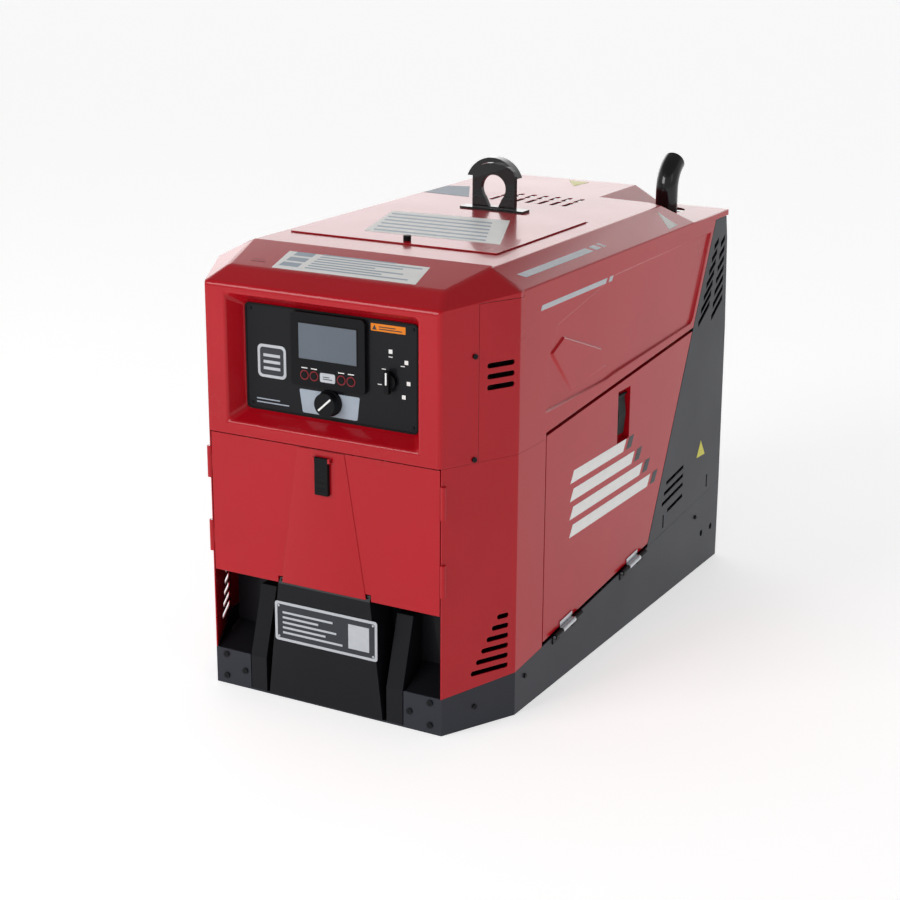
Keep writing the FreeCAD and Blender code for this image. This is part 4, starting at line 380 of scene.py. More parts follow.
def door_enamel():
    """The red of the side doors; whatever lies further out is a barrel of bare zinc."""
    material, tree = start_material("enamel_red_with_zinc_barrels")
    place = add(tree, "TexCoord").outputs["Object"]
    spot = add(tree, "SeparateXYZ", {"Vector": place})
    side = add(tree, "Math", {0: spot.outputs["X"]}, operation="ABSOLUTE")
    out = add(tree, "Math", {0: side.outputs["Value"], 1: HINGE_OUT_MM * MM}, operation="GREATER_THAN")
    cloud = add(tree, "TexNoise", {"Vector": place, "Scale": 1 / (CLOUD_MM * MM), "Detail": 3.0})
    peel = add(tree, "TexNoise", {"Vector": place, "Scale": 1 / (RED_PEEL_MM * MM), "Detail": 2.0})
    tone = add(tree, "Mix", {
        "Factor": cloud.outputs["Fac"], "A": colour(RED_FACE), "B": colour(RED_SHADE),
    }, data_type="RGBA")
    skin = add(tree, "Mix", {
        "Factor": out.outputs["Value"], "A": tone.outputs["Result"], "B": colour(ZINC_FACE),
    }, data_type="RGBA")
    rounded = add(tree, "Bevel", {"Radius": EDGE_ROUND_MM * MM}, samples=EDGE_SAMPLES)
    relief = add(tree, "Bump", {
        "Strength": 0.1, "Distance": RED_PEEL_MM * MM * 0.1, "Height": peel.outputs["Fac"],
        "Normal": rounded.outputs["Normal"],
    })
    shader = add(tree, "BsdfPrincipled", {
        "Base Color": skin.outputs["Result"], "Metallic": out.outputs["Value"], "Roughness": RED_ROUGH,
        "Specular IOR Level": BASE_SHEEN, "Coat Weight": RED_COAT, "Coat Roughness": 0.04,
        "Normal": relief.outputs["Normal"],
    })
    add(tree, "OutputMaterial", {"Surface": shader.outputs["BSDF"]})
    return material


barrel_enamel = door_enamel()
silencer_steel = heated_steel()
screen_glass = display_glass()
print("materials so far:", len(bpy.data.materials))

# %% [markdown]
# ## Dressing the frame's own solids
# Most solids are right as they are and only need their finish. The table says which node gets which
# material; the hood and the roof are replaced further down.

# %% Finishes of the frame's solids
FINISHES = {
    red_enamel: ["corner_panel_right", "corner_panel_left", "front_door", "front_shell", "roof_shell",
                 "top_cover"],
    barrel_enamel: ["side_door_right", "side_door_left"],
    charcoal_powder: ["base_frame", "rear_side_panel_right", "rear_side_panel_left", "rear_panel"],
    black_powder: ["recess_liner", "front_centre_panel", "front_brace_right", "front_brace_left",
                   "output_panel", "lift_frame", "blower_housing", "starter_motor", "generator_stator",
                   "side_hinges", "control_plate"],
    black_enamel: ["lift_eye", "exhaust_pipe"],
    black_plastic: ["cover_knob", "side_latch_right", "side_latch_left", "front_latch", "display_module",
                    "menu_button_1", "menu_button_2", "menu_button_3", "menu_button_4", "encoder_knob",
                    "engine_switch", "breaker_1", "breaker_2", "outlets", "air_cleaner", "battery",
                    "fuel_cap", "oil_filter"],
    zinc_plate: ["front_hinge_pins", "cover_hinge_pin", "side_hinge_pins", "bulkhead"],
    cast_metal: ["crankcase", "cylinder_left", "cylinder_right", "flywheel_fan", "inverter_module"],
    machined_steel: ["crankshaft", "generator_rotor"],
    silencer_steel: ["muffler"],
    turned_brass: ["output_studs"],
    black_rubber: ["rubber_mounts"],
    tank_plastic: ["fuel_tank"],
    screen_glass: ["display_screen"],
    black_oxide: ["screws"],
}
for finish, names in FINISHES.items():
    for name in names:
        mesh_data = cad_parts[name].data
        for index in range(len(mesh_data.materials)):
            mesh_data.materials[index] = finish
undressed = sorted(set(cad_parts) - {name for names in FINISHES.values() for name in names})
print("nodes without a finish:", undressed)

# %% [markdown]
# ## Working on meshes
# New pieces are made with bmesh operators. One function turns them into objects, smooths what should look
# round and hangs the piece on its body. A surface to work on is a matrix: X along
# it, Y up it, Z out of it.

# %% Mesh helpers
SMOOTH_ANGLE = math.radians(32)
MERGE = 0.02 * MM
LARGEST_BEND_MM = 10


def surface(origin_mm, along, up):
    """The matrix of a surface: X along it, Y up it, Z out of it."""
    x = Vector(along).normalized()
    y = Vector(up).normalized()
    matrix = Matrix((x, y, x.cross(y))).transposed().to_4x4()
    matrix.translation = Vector(origin_mm) * MM
    return matrix


def even_shading(piece):
    """Let the large flat faces set the shading, as on real folded sheet."""
    normals = piece.modifiers.new("even_shading", "WEIGHTED_NORMAL")
    normals.keep_sharp = True


def finish_piece(name, mesh, material, body, slot, smooth=SMOOTH_ANGLE):
    """Turn a finished bmesh into a piece of the machine."""
    for face in mesh.faces:
        face.smooth = True
    for edge in mesh.edges:
        edge.smooth = edge.is_manifold and edge.calc_face_angle(math.pi) < smooth
    data = bpy.data.meshes.new(name)
    mesh.to_mesh(data)
    mesh.free()
    data.materials.append(material)
    piece = bpy.data.objects.new(name, data)
    scene.collection.objects.link(piece)
    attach(piece, body)
    return piece


def copy_of(node_name):
    """A merged copy of a node's mesh, with flat areas as single faces."""
    mesh = bmesh.new()
    mesh.from_mesh(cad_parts[node_name].data)
    bmesh.ops.remove_doubles(mesh, verts=mesh.verts, dist=MERGE)
    bmesh.ops.dissolve_limit(mesh, angle_limit=math.radians(0.5), verts=mesh.verts, edges=mesh.edges)
    return mesh


def islands(mesh):
    """The connected groups of faces of a mesh."""
    left = set(mesh.faces)
    groups = []
    while left:
        group = set()
        front = [left.pop()]
        while front:
            face = front.pop()
            group.add(face)
            for edge in face.edges:
                for other in edge.link_faces:
                    if other in left:
                        left.remove(other)
                        front.append(other)
        groups.append(group)
    return groups


def mark_bends(mesh, test, radius_mm):
    """Give the edges that a test picks a bend radius, as a share of the largest one."""
    layers = mesh.edges.layers.float
    weight = layers.get("bevel_weight_edge") or layers.new("bevel_weight_edge")
    picked = [edge for edge in mesh.edges if edge.is_manifold and test(edge)]
    for edge in picked:
        edge[weight] = radius_mm / LARGEST_BEND_MM
    return len(picked)


def bend_marked(piece, segments=4):
    """Round the marked edges, each by its own radius."""
    rounding = piece.modifiers.new("bends", "BEVEL")
    rounding.limit_method = "WEIGHT"
    rounding.width = LARGEST_BEND_MM * MM
    rounding.segments = segments
    rounding.use_clamp_overlap = True

# %% [markdown]
# ## Pressed shells: the hood and the roof
# The hood and the roof are pressed from 2 mm sheet, so each bend has a radius that a plain solid lacks.
# The solid already has every opening in place, so the outer skin is lifted off a copy: the narrow faces,
# only as wide as the sheet, are cut away, which parts the outside from the inside. The skin's edges are
# then rounded, and Solidify gives it back its thickness, inwards.

# %% Lift a skin off a pressed shell
SHEET_MM = 2.0


def outer_skin(node_name, reach):
    """The outside of a sheet metal node, as an open mesh; reach says how far out a point lies."""
    mesh = copy_of(node_name)
    narrow = [
        face for face in mesh.faces
        if 2 * face.calc_area() / face.calc_perimeter() < 1.02 * SHEET_MM * MM
    ]
    bmesh.ops.delete(mesh, geom=narrow, context="FACES")
    groups = islands(mesh)
    outside = max(groups, key=lambda group: max(reach(vert.co) for face in group for vert in face.verts))
    inside = [face for group in groups if group is not outside for face in group]
    bmesh.ops.delete(mesh, geom=inside, context="FACES")
    print(node_name, "skin:", len(mesh.faces), "faces kept of", sum(len(group) for group in groups))
    return mesh


def thicken(piece, thickness_mm=SHEET_MM):
    """Give a skin its sheet thickness, inwards."""
    wall = piece.modifiers.new("sheet_thickness", "SOLIDIFY")
    wall.thickness = thickness_mm * MM
    wall.offset = -1
    wall.use_even_offset = False


# %% Hood
LIP_MERGE_MM = 3
CHEEK_LOW_MM = 733
MOUTH_CORNER_BEND_MM = 9
RIM_BEND_MM = 4
OUTER_BEND_MM = 6
CHEEK_BEND_MM = 0.8
shell_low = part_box("front_shell")[0]
mouth_low = shell_low.z + 15 * MM
mouth_top = 722 * MM
mouth_half = 192 * MM
pan_depth = 36 * MM

hood = outer_skin("front_shell", lambda point: -point.y)
bmesh.ops.remove_doubles(hood, verts=hood.verts, dist=LIP_MERGE_MM * MM)


def in_mouth(edge):
    """True for an edge of the recess for the control panel."""
    return all(
        abs(vert.co.x) < mouth_half and mouth_low < vert.co.z < mouth_top + MM for vert in edge.verts
    )


def turns(edge):
    """True where the sheet turns by more than a few degrees."""
    return edge.calc_face_angle(0) > math.radians(6)


def is_mouth_corner(edge):
    """The four slanting edges between the mouth of the recess and its back."""
    return in_mouth(edge) and abs(edge.verts[0].co.y - edge.verts[1].co.y) > pan_depth / 2


def is_cheek(edge):
    """The folds at the narrow strip where the hood's side meets its slope."""
    high = edge.verts[0].co.z + edge.verts[1].co.z > 2 * CHEEK_LOW_MM * MM
    return high and any(face.normal.x ** 2 > 0.6 for face in edge.link_faces)


corner_count = mark_bends(
    hood, lambda edge: turns(edge) and is_mouth_corner(edge), MOUTH_CORNER_BEND_MM,
)
rim_count = mark_bends(
    hood, lambda edge: turns(edge) and in_mouth(edge) and not is_mouth_corner(edge), RIM_BEND_MM,
)
outer_count = mark_bends(
    hood, lambda edge: turns(edge) and not in_mouth(edge) and not is_cheek(edge), OUTER_BEND_MM,
)
cheek_count = mark_bends(
    hood, lambda edge: turns(edge) and not in_mouth(edge) and is_cheek(edge), CHEEK_BEND_MM,
)
print("hood bends:", corner_count, rim_count, outer_count, cheek_count)
hood_piece = finish_piece("hood", hood, red_enamel, "machine", "red")
bend_marked(hood_piece)
thicken(hood_piece)
even_shading(hood_piece)
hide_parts("front_shell")

# %% [markdown]
# ## The roof and its pressed wings
# Each wing beside the roof has a shallow stamped panel that stiffens it. A boolean could sink it, but a
# stamping keeps the sheet's thickness, so the wing's one flat face is taken out, filled again around a
# smaller outline, and that outline is extruded inwards and closed: the sheet itself goes down.

# %% Roof with stamped wings
STAMP_DEPTH_MM = 4.5
STAMP_SLOPE_MM = 6
STAMP = (
    (-255, 666), (-290, 617), (-298, 521), (-47, 523), (0, 529),
    (338, 546), (352, 556), (430, 715), (-23, 711),
)
SWELL = ((-280, 620), (-232, 640), (-74, 585), (-50, 548), (-196, 534))
SWELL_RISE_MM = 3.5
WALL_OUT_MM = 300
FOLD_BEND_MM = 4
FOLD_LENGTH_MM = 30
FOLD_AREA_MM2 = 300


def loop_of(mesh, corners):
    """A closed ring of edges through a few corners."""
    verts = [mesh.verts.new(corner) for corner in corners]
    following = verts[1:] + verts[:1]
    return verts, [mesh.edges.new(pair) for pair in zip(verts, following)]


def stamp(mesh, face, outline, depth, slope):
    """Press an outline into a flat face of a skin and return the new floor face."""
    normal = face.normal.copy()
    rim = list(face.edges)
    plane = face.calc_center_median()
    bmesh.ops.delete(mesh, geom=[face], context="FACES_ONLY")
    corners = [point - normal * (point - plane).dot(normal) for point in outline]
    inner = loop_of(mesh, corners)[1]
    made = bmesh.ops.triangle_fill(
        mesh, use_beauty=False, use_dissolve=True, edges=rim + inner, normal=normal,
    )
    for filled in [item for item in made["geom"] if isinstance(item, bmesh.types.BMFace)]:
        if filled.normal.dot(normal) < 0:
            filled.normal_flip()
    centre = sum(corners, Vector()) / len(corners)
    grown = bmesh.ops.extrude_edge_only(mesh, edges=inner)
    lowered = [item for item in grown["geom"] if isinstance(item, bmesh.types.BMVert)]
    span = max((corner - centre).length for corner in corners)
    shrink = Vector((1, 1, 1)) * (1 - slope / span)
    bmesh.ops.scale(mesh, vec=shrink, space=Matrix.Translation(-centre), verts=lowered)
    bmesh.ops.translate(mesh, vec=normal * depth, verts=lowered)
    edges = [
        item for item in grown["geom"]
        if isinstance(item, bmesh.types.BMEdge) and all(vert in lowered for vert in item.verts)
    ]
    floor_face = bmesh.ops.contextual_create(mesh, geom=edges)["faces"][0]
    if floor_face.normal.dot(normal) < 0:
        floor_face.normal_flip()
    bmesh.ops.recalc_face_normals(mesh, faces=mesh.faces)
    return floor_face


roof = outer_skin("roof_shell", lambda point: point.z + abs(point.x))
for side in (1, -1):
    wing = max(
        (face for face in roof.faces if face.normal.x * side > 0.99), key=lambda face: face.calc_area(),
    )
    outline, swell = (
        [Vector((side * WALL_OUT_MM * MM, y * MM, z * MM)) for y, z in corners] for corners in (STAMP, SWELL)
    )
    floor_face = stamp(roof, wing, outline, -STAMP_DEPTH_MM * MM, STAMP_SLOPE_MM * MM)
    stamp(roof, floor_face, swell, SWELL_RISE_MM * MM, STAMP_SLOPE_MM * MM)
fold_count = mark_bends(
    roof,
    lambda edge: turns(edge) and edge.calc_length() > FOLD_LENGTH_MM * MM
    and all(face.calc_area() > FOLD_AREA_MM2 * MM * MM for face in edge.link_faces),
    FOLD_BEND_MM,
)
print("roof folds:", fold_count)
roof_piece = finish_piece("roof", roof, red_enamel, "machine", "red")
bend_marked(roof_piece, 3)
thicken(roof_piece)
even_shading(roof_piece)
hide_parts("roof_shell")

# %% [markdown]
# ## Labels, stripes and plates
# Films, prints and plates are thin flat shapes: a few corners on a surface, rounded and extruded by the
# thickness of the film. A texture could carry them too, but a real edge catches light and stays sharp. The
# words and marks of a maker are left out; plain bars and stripes stand where print would be.

# %% Flat shapes on a surface
def flat_shape(corners, thick_mm, corner_mm=0.0):
    """A thin plate with the outline of a few corners, in millimetres, on the plane of X and Y."""
    mesh = bmesh.new()
    verts = [mesh.verts.new((u * MM, v * MM, 0)) for u, v in corners]
    bmesh.ops.contextual_create(mesh, geom=verts)
    if corner_mm:
        bmesh.ops.bevel(
            mesh, geom=list(mesh.verts), offset=corner_mm * MM, affect="VERTICES", segments=5, profile=0.5,
            material=-1,
        )
    raised = bmesh.ops.extrude_face_region(mesh, geom=list(mesh.faces))
    top = [item for item in raised["geom"] if isinstance(item, bmesh.types.BMVert)]
    bmesh.ops.translate(mesh, vec=(0, 0, thick_mm * MM), verts=top)
    bmesh.ops.recalc_face_normals(mesh, faces=mesh.faces)
    return mesh


def join_meshes(parts):
    """One bmesh from several."""
    whole = bmesh.new()
    for part in parts:
        data = bpy.data.meshes.new("part")
        part.to_mesh(data)
        part.free()
        whole.from_mesh(data)
        bpy.data.meshes.remove(data)
    return whole


def decal(name, place, shapes, material, body, slot, thick_mm=0.25, corner_mm=0.0, lift_mm=0.0):
    """One piece made of several flat shapes on the same surface."""
    mesh = join_meshes([flat_shape(shape, thick_mm, corner_mm) for shape in shapes])
    seat = place @ Matrix.Translation((0, 0, lift_mm * MM))
    bmesh.ops.transform(mesh, matrix=seat, verts=mesh.verts)
    return finish_piece(name, mesh, material, body, slot)


def box_shape(left, low, right, high):
    """The corners of an upright rectangle."""
    return ((left, low), (right, low), (right, high), (left, high))


def print_rows(left, low, right, high, rows, fill=0.45, lengths=(1.0, 0.72, 0.9, 0.6, 0.84)):
    """Bars that stand for lines of small print."""
    pitch = (high - low) / rows
    return [
        box_shape(left, low + row * pitch, left + (right - left) * lengths[row % len(lengths)],
                  low + row * pitch + pitch * fill)
        for row in range(rows)
    ]


def slanted(left, low, right, high, lean):
    """A parallelogram whose upper edge is pushed along by lean."""
    return ((left, low), (right, low), (right + lean, high), (left + lean, high))


# %% [markdown]
# ## Where the labels go
# A label needs the plane it is stuck on. Each is named once, so all that is on one panel shares one plane.

# %% Surfaces of the case
COVER_TOP_MM = 783.4
ROOF_TOP_MM = 781
CHAMFER_FOOT_MM = 749
CHAMFER_RUN, CHAMFER_RISE = 61, 32


def front_plane(y_mm, x_mm=0, z_mm=0):
    """An upright plane that faces the front."""
    return surface((x_mm, y_mm, z_mm), (1, 0, 0), (0, 0, 1))


hood_top = surface((0, -441.5, 770), (1, 0, 0), (0, 107, 22))
cover_face = surface((0, 0, COVER_TOP_MM), (1, 0, 0), (0, 1, 0))
roof_face = surface((0, 0, ROOF_TOP_MM), (1, 0, 0), (0, 1, 0))
chamfer_right = surface((WALL_OUT_MM, 0, CHAMFER_FOOT_MM), (0, 1, 0), (-CHAMFER_RUN, 0, CHAMFER_RISE))
chamfer_left = surface((-WALL_OUT_MM, 0, CHAMFER_FOOT_MM), (0, -1, 0), (CHAMFER_RUN, 0, CHAMFER_RISE))
side_right = surface((WALL_OUT_MM, 0, 0), (0, 1, 0), (0, 0, 1))
side_left = surface((-WALL_OUT_MM, 0, 0), (0, -1, 0), (0, 0, 1))
door_face = front_plane(-537)
centre_face = front_plane(-539)
plate_face = front_plane(-508)
display_face = front_plane(-516)

# %% Labels on the hood, the cover and the roof
FILM = ("machine", "plastic")
decal("hood_label", hood_top, [((-142, 46.4), (-128.5, -46.5), (152, -44.9), (135, 49.5))],
      white_print, *FILM, corner_mm=2)
decal("hood_label_print", hood_top,
      print_rows(-70, -34, 130, 34, 7) + print_rows(-122, -34, -84, 34, 3, 0.7, (1.0,)),
      grey_print, *FILM, 0.08, 0, 0.25)
decal("hood_side_marks", hood_top, print_rows(-182, -30, -152, 30, 6, 0.3),
      red_print, *FILM, 0.1)
decal("cover_label", cover_face, [((-108, -224), (164, -216), (71, 0), (-170, -19))],
      white_print, "top_cover_body", "plastic", corner_mm=2)
cover_rows = [
    ((-98 - step * 11, -208 + step * 31), (128 - step * 14, -202 + step * 31),
     (122 - step * 14, -190 + step * 31), (-103 - step * 11, -196 + step * 31))
    for step in range(6)
]
decal("cover_label_print", cover_face, cover_rows, grey_print, "top_cover_body", "plastic", 0.08, 0, 0.25)
decal("roof_label", roof_face, [((-236, 213), (-130, 207.5), (-190, 322), (-234, 309))],
      grey_print, *FILM, corner_mm=2)
decal("roof_warning_triangle", roof_face, [((-51, 502), (-8, 435), (-3, 497))],
      yellow_print, *FILM, corner_mm=1)
print("rows on the cover label:", len(cover_rows))

# %% [markdown]
# ## Stripes
# The slanting bars on chamfer, wing and side door are cut from film. They are listed once, for the right
# side, and turned round for the left. The bars on a door ride on that door.

# %% Stripes and triangles on the sides
BAR_RISE, BAR_TALL, BAR_SHIFT, BAR_LEAN = 34, 22, 40, 14
BAR_LOW = 262
chamfer_bars = [slanted(left, 24, right, 37, -12) for left, right in ((-340, -78), (-66, -44), (-34, -24))]
wing_bars = [slanted(left, 703, right, 712, 6) for left, right in ((-327, -70), (-58, -44))]
door_bars, door_bar_ends = [], []
for step in range(4):
    bar_low = BAR_LOW + step * BAR_RISE
    bar_high, shift = bar_low + BAR_TALL, step * BAR_SHIFT
    door_bars.append(slanted(-196, bar_low, 150 - shift, bar_high, BAR_LEAN))
    door_bar_ends.append(slanted(164 - shift, bar_low, 186 - shift, bar_high, BAR_LEAN))
for name, chamfer, wall, flip, door_body in (
        ("right", chamfer_right, side_right, 1, "right_door_body"),
        ("left", chamfer_left, side_left, -1, "left_door_body")):
    for label, place, bars, film, body, slot in (
            ("chamfer_stripe_", chamfer, chamfer_bars, silver_paint, "machine", "zinc"),
            ("wing_stripe_", wall, wing_bars, silver_paint, "machine", "zinc"),
            ("door_stripes_", wall, door_bars, white_print, door_body, "plastic"),
            ("door_stripes_edge_", wall, door_bar_ends, dark_print, door_body, "plastic")):
        turned = [tuple((u * flip, v) for u, v in bar) for bar in bars]
        decal(label + name, place, turned, film, body, slot)
decal("chamfer_triangle", chamfer_right, [((226, 7.3), (272, 9), (270, 57.6))],
      white_print, *FILM)
decal("side_warning_triangle", side_right, [((404, 250.5), (448, 249), (424, 284))],
      yellow_print, *FILM, corner_mm=1)
print("bars on each side:", len(chamfer_bars), len(wing_bars), len(door_bars), len(door_bar_ends))

# %% [markdown]
# ## Rating plate and rivets
# The plate on the centre panel is silver with a raised border, held by four domed rivets. A rivet is half
# a small sphere; a spun profile would do too, but a cut sphere is as round.

# %% Rating plate
PLATE_BOX = (-101, 110, 108, 183)
PLATE_THICK_MM = 0.8


def dome(place, u, v, radius_mm, rise=0.5):
    """A low domed rivet on a surface."""
    mesh = bmesh.new()
    bmesh.ops.create_uvsphere(mesh, u_segments=16, v_segments=10, radius=radius_mm * MM)
    bmesh.ops.bisect_plane(
        mesh, geom=list(mesh.verts) + list(mesh.edges) + list(mesh.faces), plane_co=(0, 0, 0),
        plane_no=(0, 0, 1), clear_inner=True,
    )
    bmesh.ops.holes_fill(mesh, edges=[edge for edge in mesh.edges if edge.is_boundary])
    bmesh.ops.scale(mesh, vec=(1, 1, rise), verts=mesh.verts)
    bmesh.ops.transform(mesh, matrix=place @ Matrix.Translation((u * MM, v * MM, 0)), verts=mesh.verts)
    bmesh.ops.recalc_face_normals(mesh, faces=mesh.faces)
    return mesh


left, low, right, high = PLATE_BOX
decal("rating_plate", centre_face, [box_shape(left, low, right, high)],
      silver_paint, "machine", "zinc", PLATE_THICK_MM, 5)
decal("rating_plate_field", centre_face, [box_shape(left + 5, low + 5, right - 5, high - 5)],
      dark_print, *FILM, 0.15, 3, PLATE_THICK_MM)
decal("rating_plate_print", centre_face,
      print_rows(left + 16, low + 14, right - 70, high - 12, 5, 0.42)
      + [box_shape(right - 58, low + 14, right - 16, high - 14)],
      silver_paint, "machine", "zinc", 0.1, 0, 0.95)
plate_top = centre_face @ Matrix.Translation((0, 0, PLATE_THICK_MM * MM))
plate_rivets = [dome(plate_top, u, v, 2.4) for u in (left + 8, right - 8) for v in (low + 8, high - 8)]
finish_piece("rating_plate_rivets", join_meshes(plate_rivets), silver_paint, "machine", "zinc")
door_rivets = [dome(door_face, u, v, 2.6) for u, v in ((-17, 403), (23, 448))]
finish_piece("front_door_rivets", join_meshes(door_rivets), silver_paint, "front_door_body", "zinc")
print("rivets:", len(plate_rivets), len(door_rivets))

# %% [markdown]
# ## The pressed centre of the front door
# Two creases run down the front door and lean apart. Between them the sheet stands a little forward: a
# thin plate on the door, with its long edges bevelled so that the light changes softly there.

# %% Front door pressing
PRESSING = ((-86, 219), (85, 219), (45, 470), (-49, 470))
PRESSING_RISE_MM = 1.5
pressing = flat_shape(PRESSING, PRESSING_RISE_MM)
shoulders = [
    edge for edge in pressing.edges
    if all(vert.co.z > MM for vert in edge.verts) and abs(edge.verts[0].co.y - edge.verts[1].co.y) > 0.1
]
bmesh.ops.bevel(
    pressing, geom=shoulders, offset=1.4 * MM, affect="EDGES", segments=3, profile=0.5, material=-1,
)
bmesh.ops.transform(pressing, matrix=door_face, verts=pressing.verts)
finish_piece("front_door_pressing", pressing, red_enamel, "front_door_body", "red")
print("shoulders bevelled:", len(shoulders))

# %% [markdown]
# ## The control panel
# The panel is a dark plate with a rubber gasket behind its edge, printed fields, a display, a menu knob
# and the engine switch. Print is thin film; the gasket is a raised frame that catches a line of light.

# %% Control panel print
plate_low, plate_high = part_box("control_plate")
p_left, p_low = plate_low.x / MM, plate_low.z / MM
p_right, p_high = plate_high.x / MM, plate_high.z / MM


def frame_shape(left, low, right, high, wide, thick_mm, corner_mm):
    """A flat rectangular ring with rounded corners."""
    mesh = bmesh.new()
    verts = [mesh.verts.new((u * MM, v * MM, 0)) for u, v in box_shape(left, low, right, high)]
    bmesh.ops.contextual_create(mesh, geom=verts)
    bmesh.ops.bevel(
        mesh, geom=list(mesh.verts), offset=corner_mm * MM, affect="VERTICES", segments=4, profile=0.5,
        material=-1,
    )
    field = list(mesh.faces)
    bmesh.ops.inset_region(mesh, faces=field, thickness=wide * MM, use_even_offset=True, use_boundary=True)
    bmesh.ops.delete(mesh, geom=field, context="FACES_ONLY")
    raised = bmesh.ops.extrude_face_region(mesh, geom=list(mesh.faces))
    top = [item for item in raised["geom"] if isinstance(item, bmesh.types.BMVert)]
    bmesh.ops.translate(mesh, vec=(0, 0, thick_mm * MM), verts=top)
    bmesh.ops.recalc_face_normals(mesh, faces=mesh.faces)
    return mesh


def ring(place, u, v, inner_mm, outer_mm, thick_mm, segments=40):
    """A flat turned ring with softened edges, made by a full spin."""
    mesh = bmesh.new()
    soft = min(0.25 * (outer_mm - inner_mm), 0.4 * thick_mm)
    profile = ((inner_mm, 0), (outer_mm, 0), (outer_mm, thick_mm - soft), (outer_mm - soft, thick_mm),
               (inner_mm + soft, thick_mm), (inner_mm, thick_mm - soft))
    verts, edges = loop_of(mesh, [(radius * MM, 0, level * MM) for radius, level in profile])
    bmesh.ops.spin(
        mesh, geom=verts + edges, cent=(0, 0, 0), axis=(0, 0, 1), angle=2 * math.pi, steps=segments,
        use_merge=True,
    )
    bmesh.ops.remove_doubles(mesh, verts=mesh.verts, dist=0.001 * MM)
    bmesh.ops.recalc_face_normals(mesh, faces=mesh.faces)
    bmesh.ops.transform(mesh, matrix=place @ Matrix.Translation((u * MM, v * MM, 0)), verts=mesh.verts)
    return mesh


gasket = frame_shape(p_left - 0.5, p_low - 0.5, p_right + 0.5, p_high + 0.5, 3.0, 0.8, 8)
bmesh.ops.transform(gasket, matrix=plate_face, verts=gasket.verts)
finish_piece("control_plate_gasket", gasket, black_rubber, "machine", "rubber")
decal("orange_label", plate_face, [box_shape(80.5, 681.5, 146.6, 694)],
      orange_print, *FILM, 0.2, 1)
decal("orange_label_print", plate_face,
      print_rows(96, 684.5, 140, 692, 2, 0.45) + [((83, 683.5), (92, 683.5), (87.5, 692))],
      dark_print, *FILM, 0.06, 0, 0.2)
decal("menu_field", plate_face, [((-56, 522.5), (53, 522.5), (58, 563.5), (-62, 563.5))],
      grey_print, *FILM, 0.15, 3)
decal("panel_emblem", plate_face, [box_shape(-146, 574, -88, 632)],
      silver_paint, "machine", "zinc", 0.5, 9)
decal("panel_emblem_field", plate_face, [box_shape(-141, 579, -93, 627)],
      dark_print, *FILM, 0.12, 6, 0.5)
decal("panel_emblem_mark", plate_face, print_rows(-134, 588, -100, 622, 3, 0.45, (1.0,)),
      silver_paint, "machine", "zinc", 0.1, 0, 0.62)
decal("panel_small_print", plate_face, print_rows(-150, 528, -84, 540, 2, 0.35),
      grey_print, *FILM, 0.06)
SIGNS = ((118, 650), (148, 635), (152, 600), (143, 576))
TICKS = ((97, 592), (105, 619), (118, 641), (141, 628))
switch_marks = [box_shape(u - 3.5, v - 3.5, u + 3.5, v + 3.5) for u, v in SIGNS]
switch_marks += [box_shape(u - 4, v - 0.8, u + 4, v + 0.8) for u, v in TICKS]
decal("switch_marks", plate_face, switch_marks, white_print, *FILM, 0.08, 0.6)
print("control plate", round(p_right - p_left, 1), "by", round(p_high - p_low, 1), "mm")

# %% [markdown]
# ## Rings and pointers
# The ring round each button is one profile spun through a full turn. The white pointers are film, and
# ride on the knob and on the lever.

# %% Button rings and pointers
BUTTONS = (-46, -27, 27, 46)
rings = [ring(display_face, u, 591, 6.4, 8.6, 0.7) for u in BUTTONS]
finish_piece("button_rings", join_meshes(rings), red_print, *FILM)
decal("button_plate", display_face, [box_shape(-15, 583, 15, 599)],
      silver_paint, "machine", "zinc", 0.4, 3)
decal("button_plate_print", display_face, print_rows(-9, 588, 9, 595, 2, 0.4),
      dark_print, *FILM, 0.06, 0, 0.4)
screen_rim = frame_shape(-59.5, 617, 59.5, 682, 2.0, 0.5, 3)
bmesh.ops.transform(screen_rim, matrix=display_face, verts=screen_rim.verts)
finish_piece("screen_rim", screen_rim, black_rubber, "machine", "rubber")
decal("button_captions", display_face, [box_shape(u - 6, 602.5, u + 6, 604.2) for u in BUTTONS],
      white_print, *FILM, 0.06)
knob_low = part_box("encoder_knob")[0]
knob_face = front_plane(knob_low.y / MM, 0, 547)
knob_turn = Matrix.Rotation(math.radians(42), 4, "Z")
decal("menu_knob_pointer", knob_face @ knob_turn, [box_shape(-16, -1.6, 17, 1.6)],
      white_print, "encoder_body", "plastic", 0.3, 1)
switch_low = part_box("engine_switch")[0]
lever_face = front_plane(switch_low.y / MM, 117, 600)
decal("switch_pointer", lever_face, [box_shape(-1.6, -4, 1.6, 17)],
      white_print, "switch_body", "plastic", 0.3, 1)
print("knob front", round(knob_low.y / MM, 1), "lever front", round(switch_low.y / MM, 1))

# %% [markdown]
# ## Small hardware
# A button-head screw has a hexagonal socket. It could be cut with a boolean, but a dark six-sided inset,
# painted shade in place of the socket's hollow, reads the same from a step away. Each is placed on the
# screw's own largest face, so it lies square there.

# %% Screw sockets
SOCKET_RADIUS_SHARE = 0.42
SOCKET_THICK_MM = 0.12


def socket_on(face):
    """A six-sided dark inset in the middle of a screw head's face: painted shade for the socket's hollow."""
    radius = math.sqrt(face.calc_area() / math.pi) * SOCKET_RADIUS_SHARE
    mesh = bmesh.new()
    bmesh.ops.create_cone(
        mesh, cap_ends=True, segments=6, radius1=radius, radius2=radius * 0.96, depth=SOCKET_THICK_MM * MM,
    )
    turn = face.normal.to_track_quat("Z", "Y").to_matrix().to_4x4()
    bmesh.ops.transform(mesh, matrix=Matrix.Translation(face.calc_center_median()) @ turn, verts=mesh.verts)
    return mesh


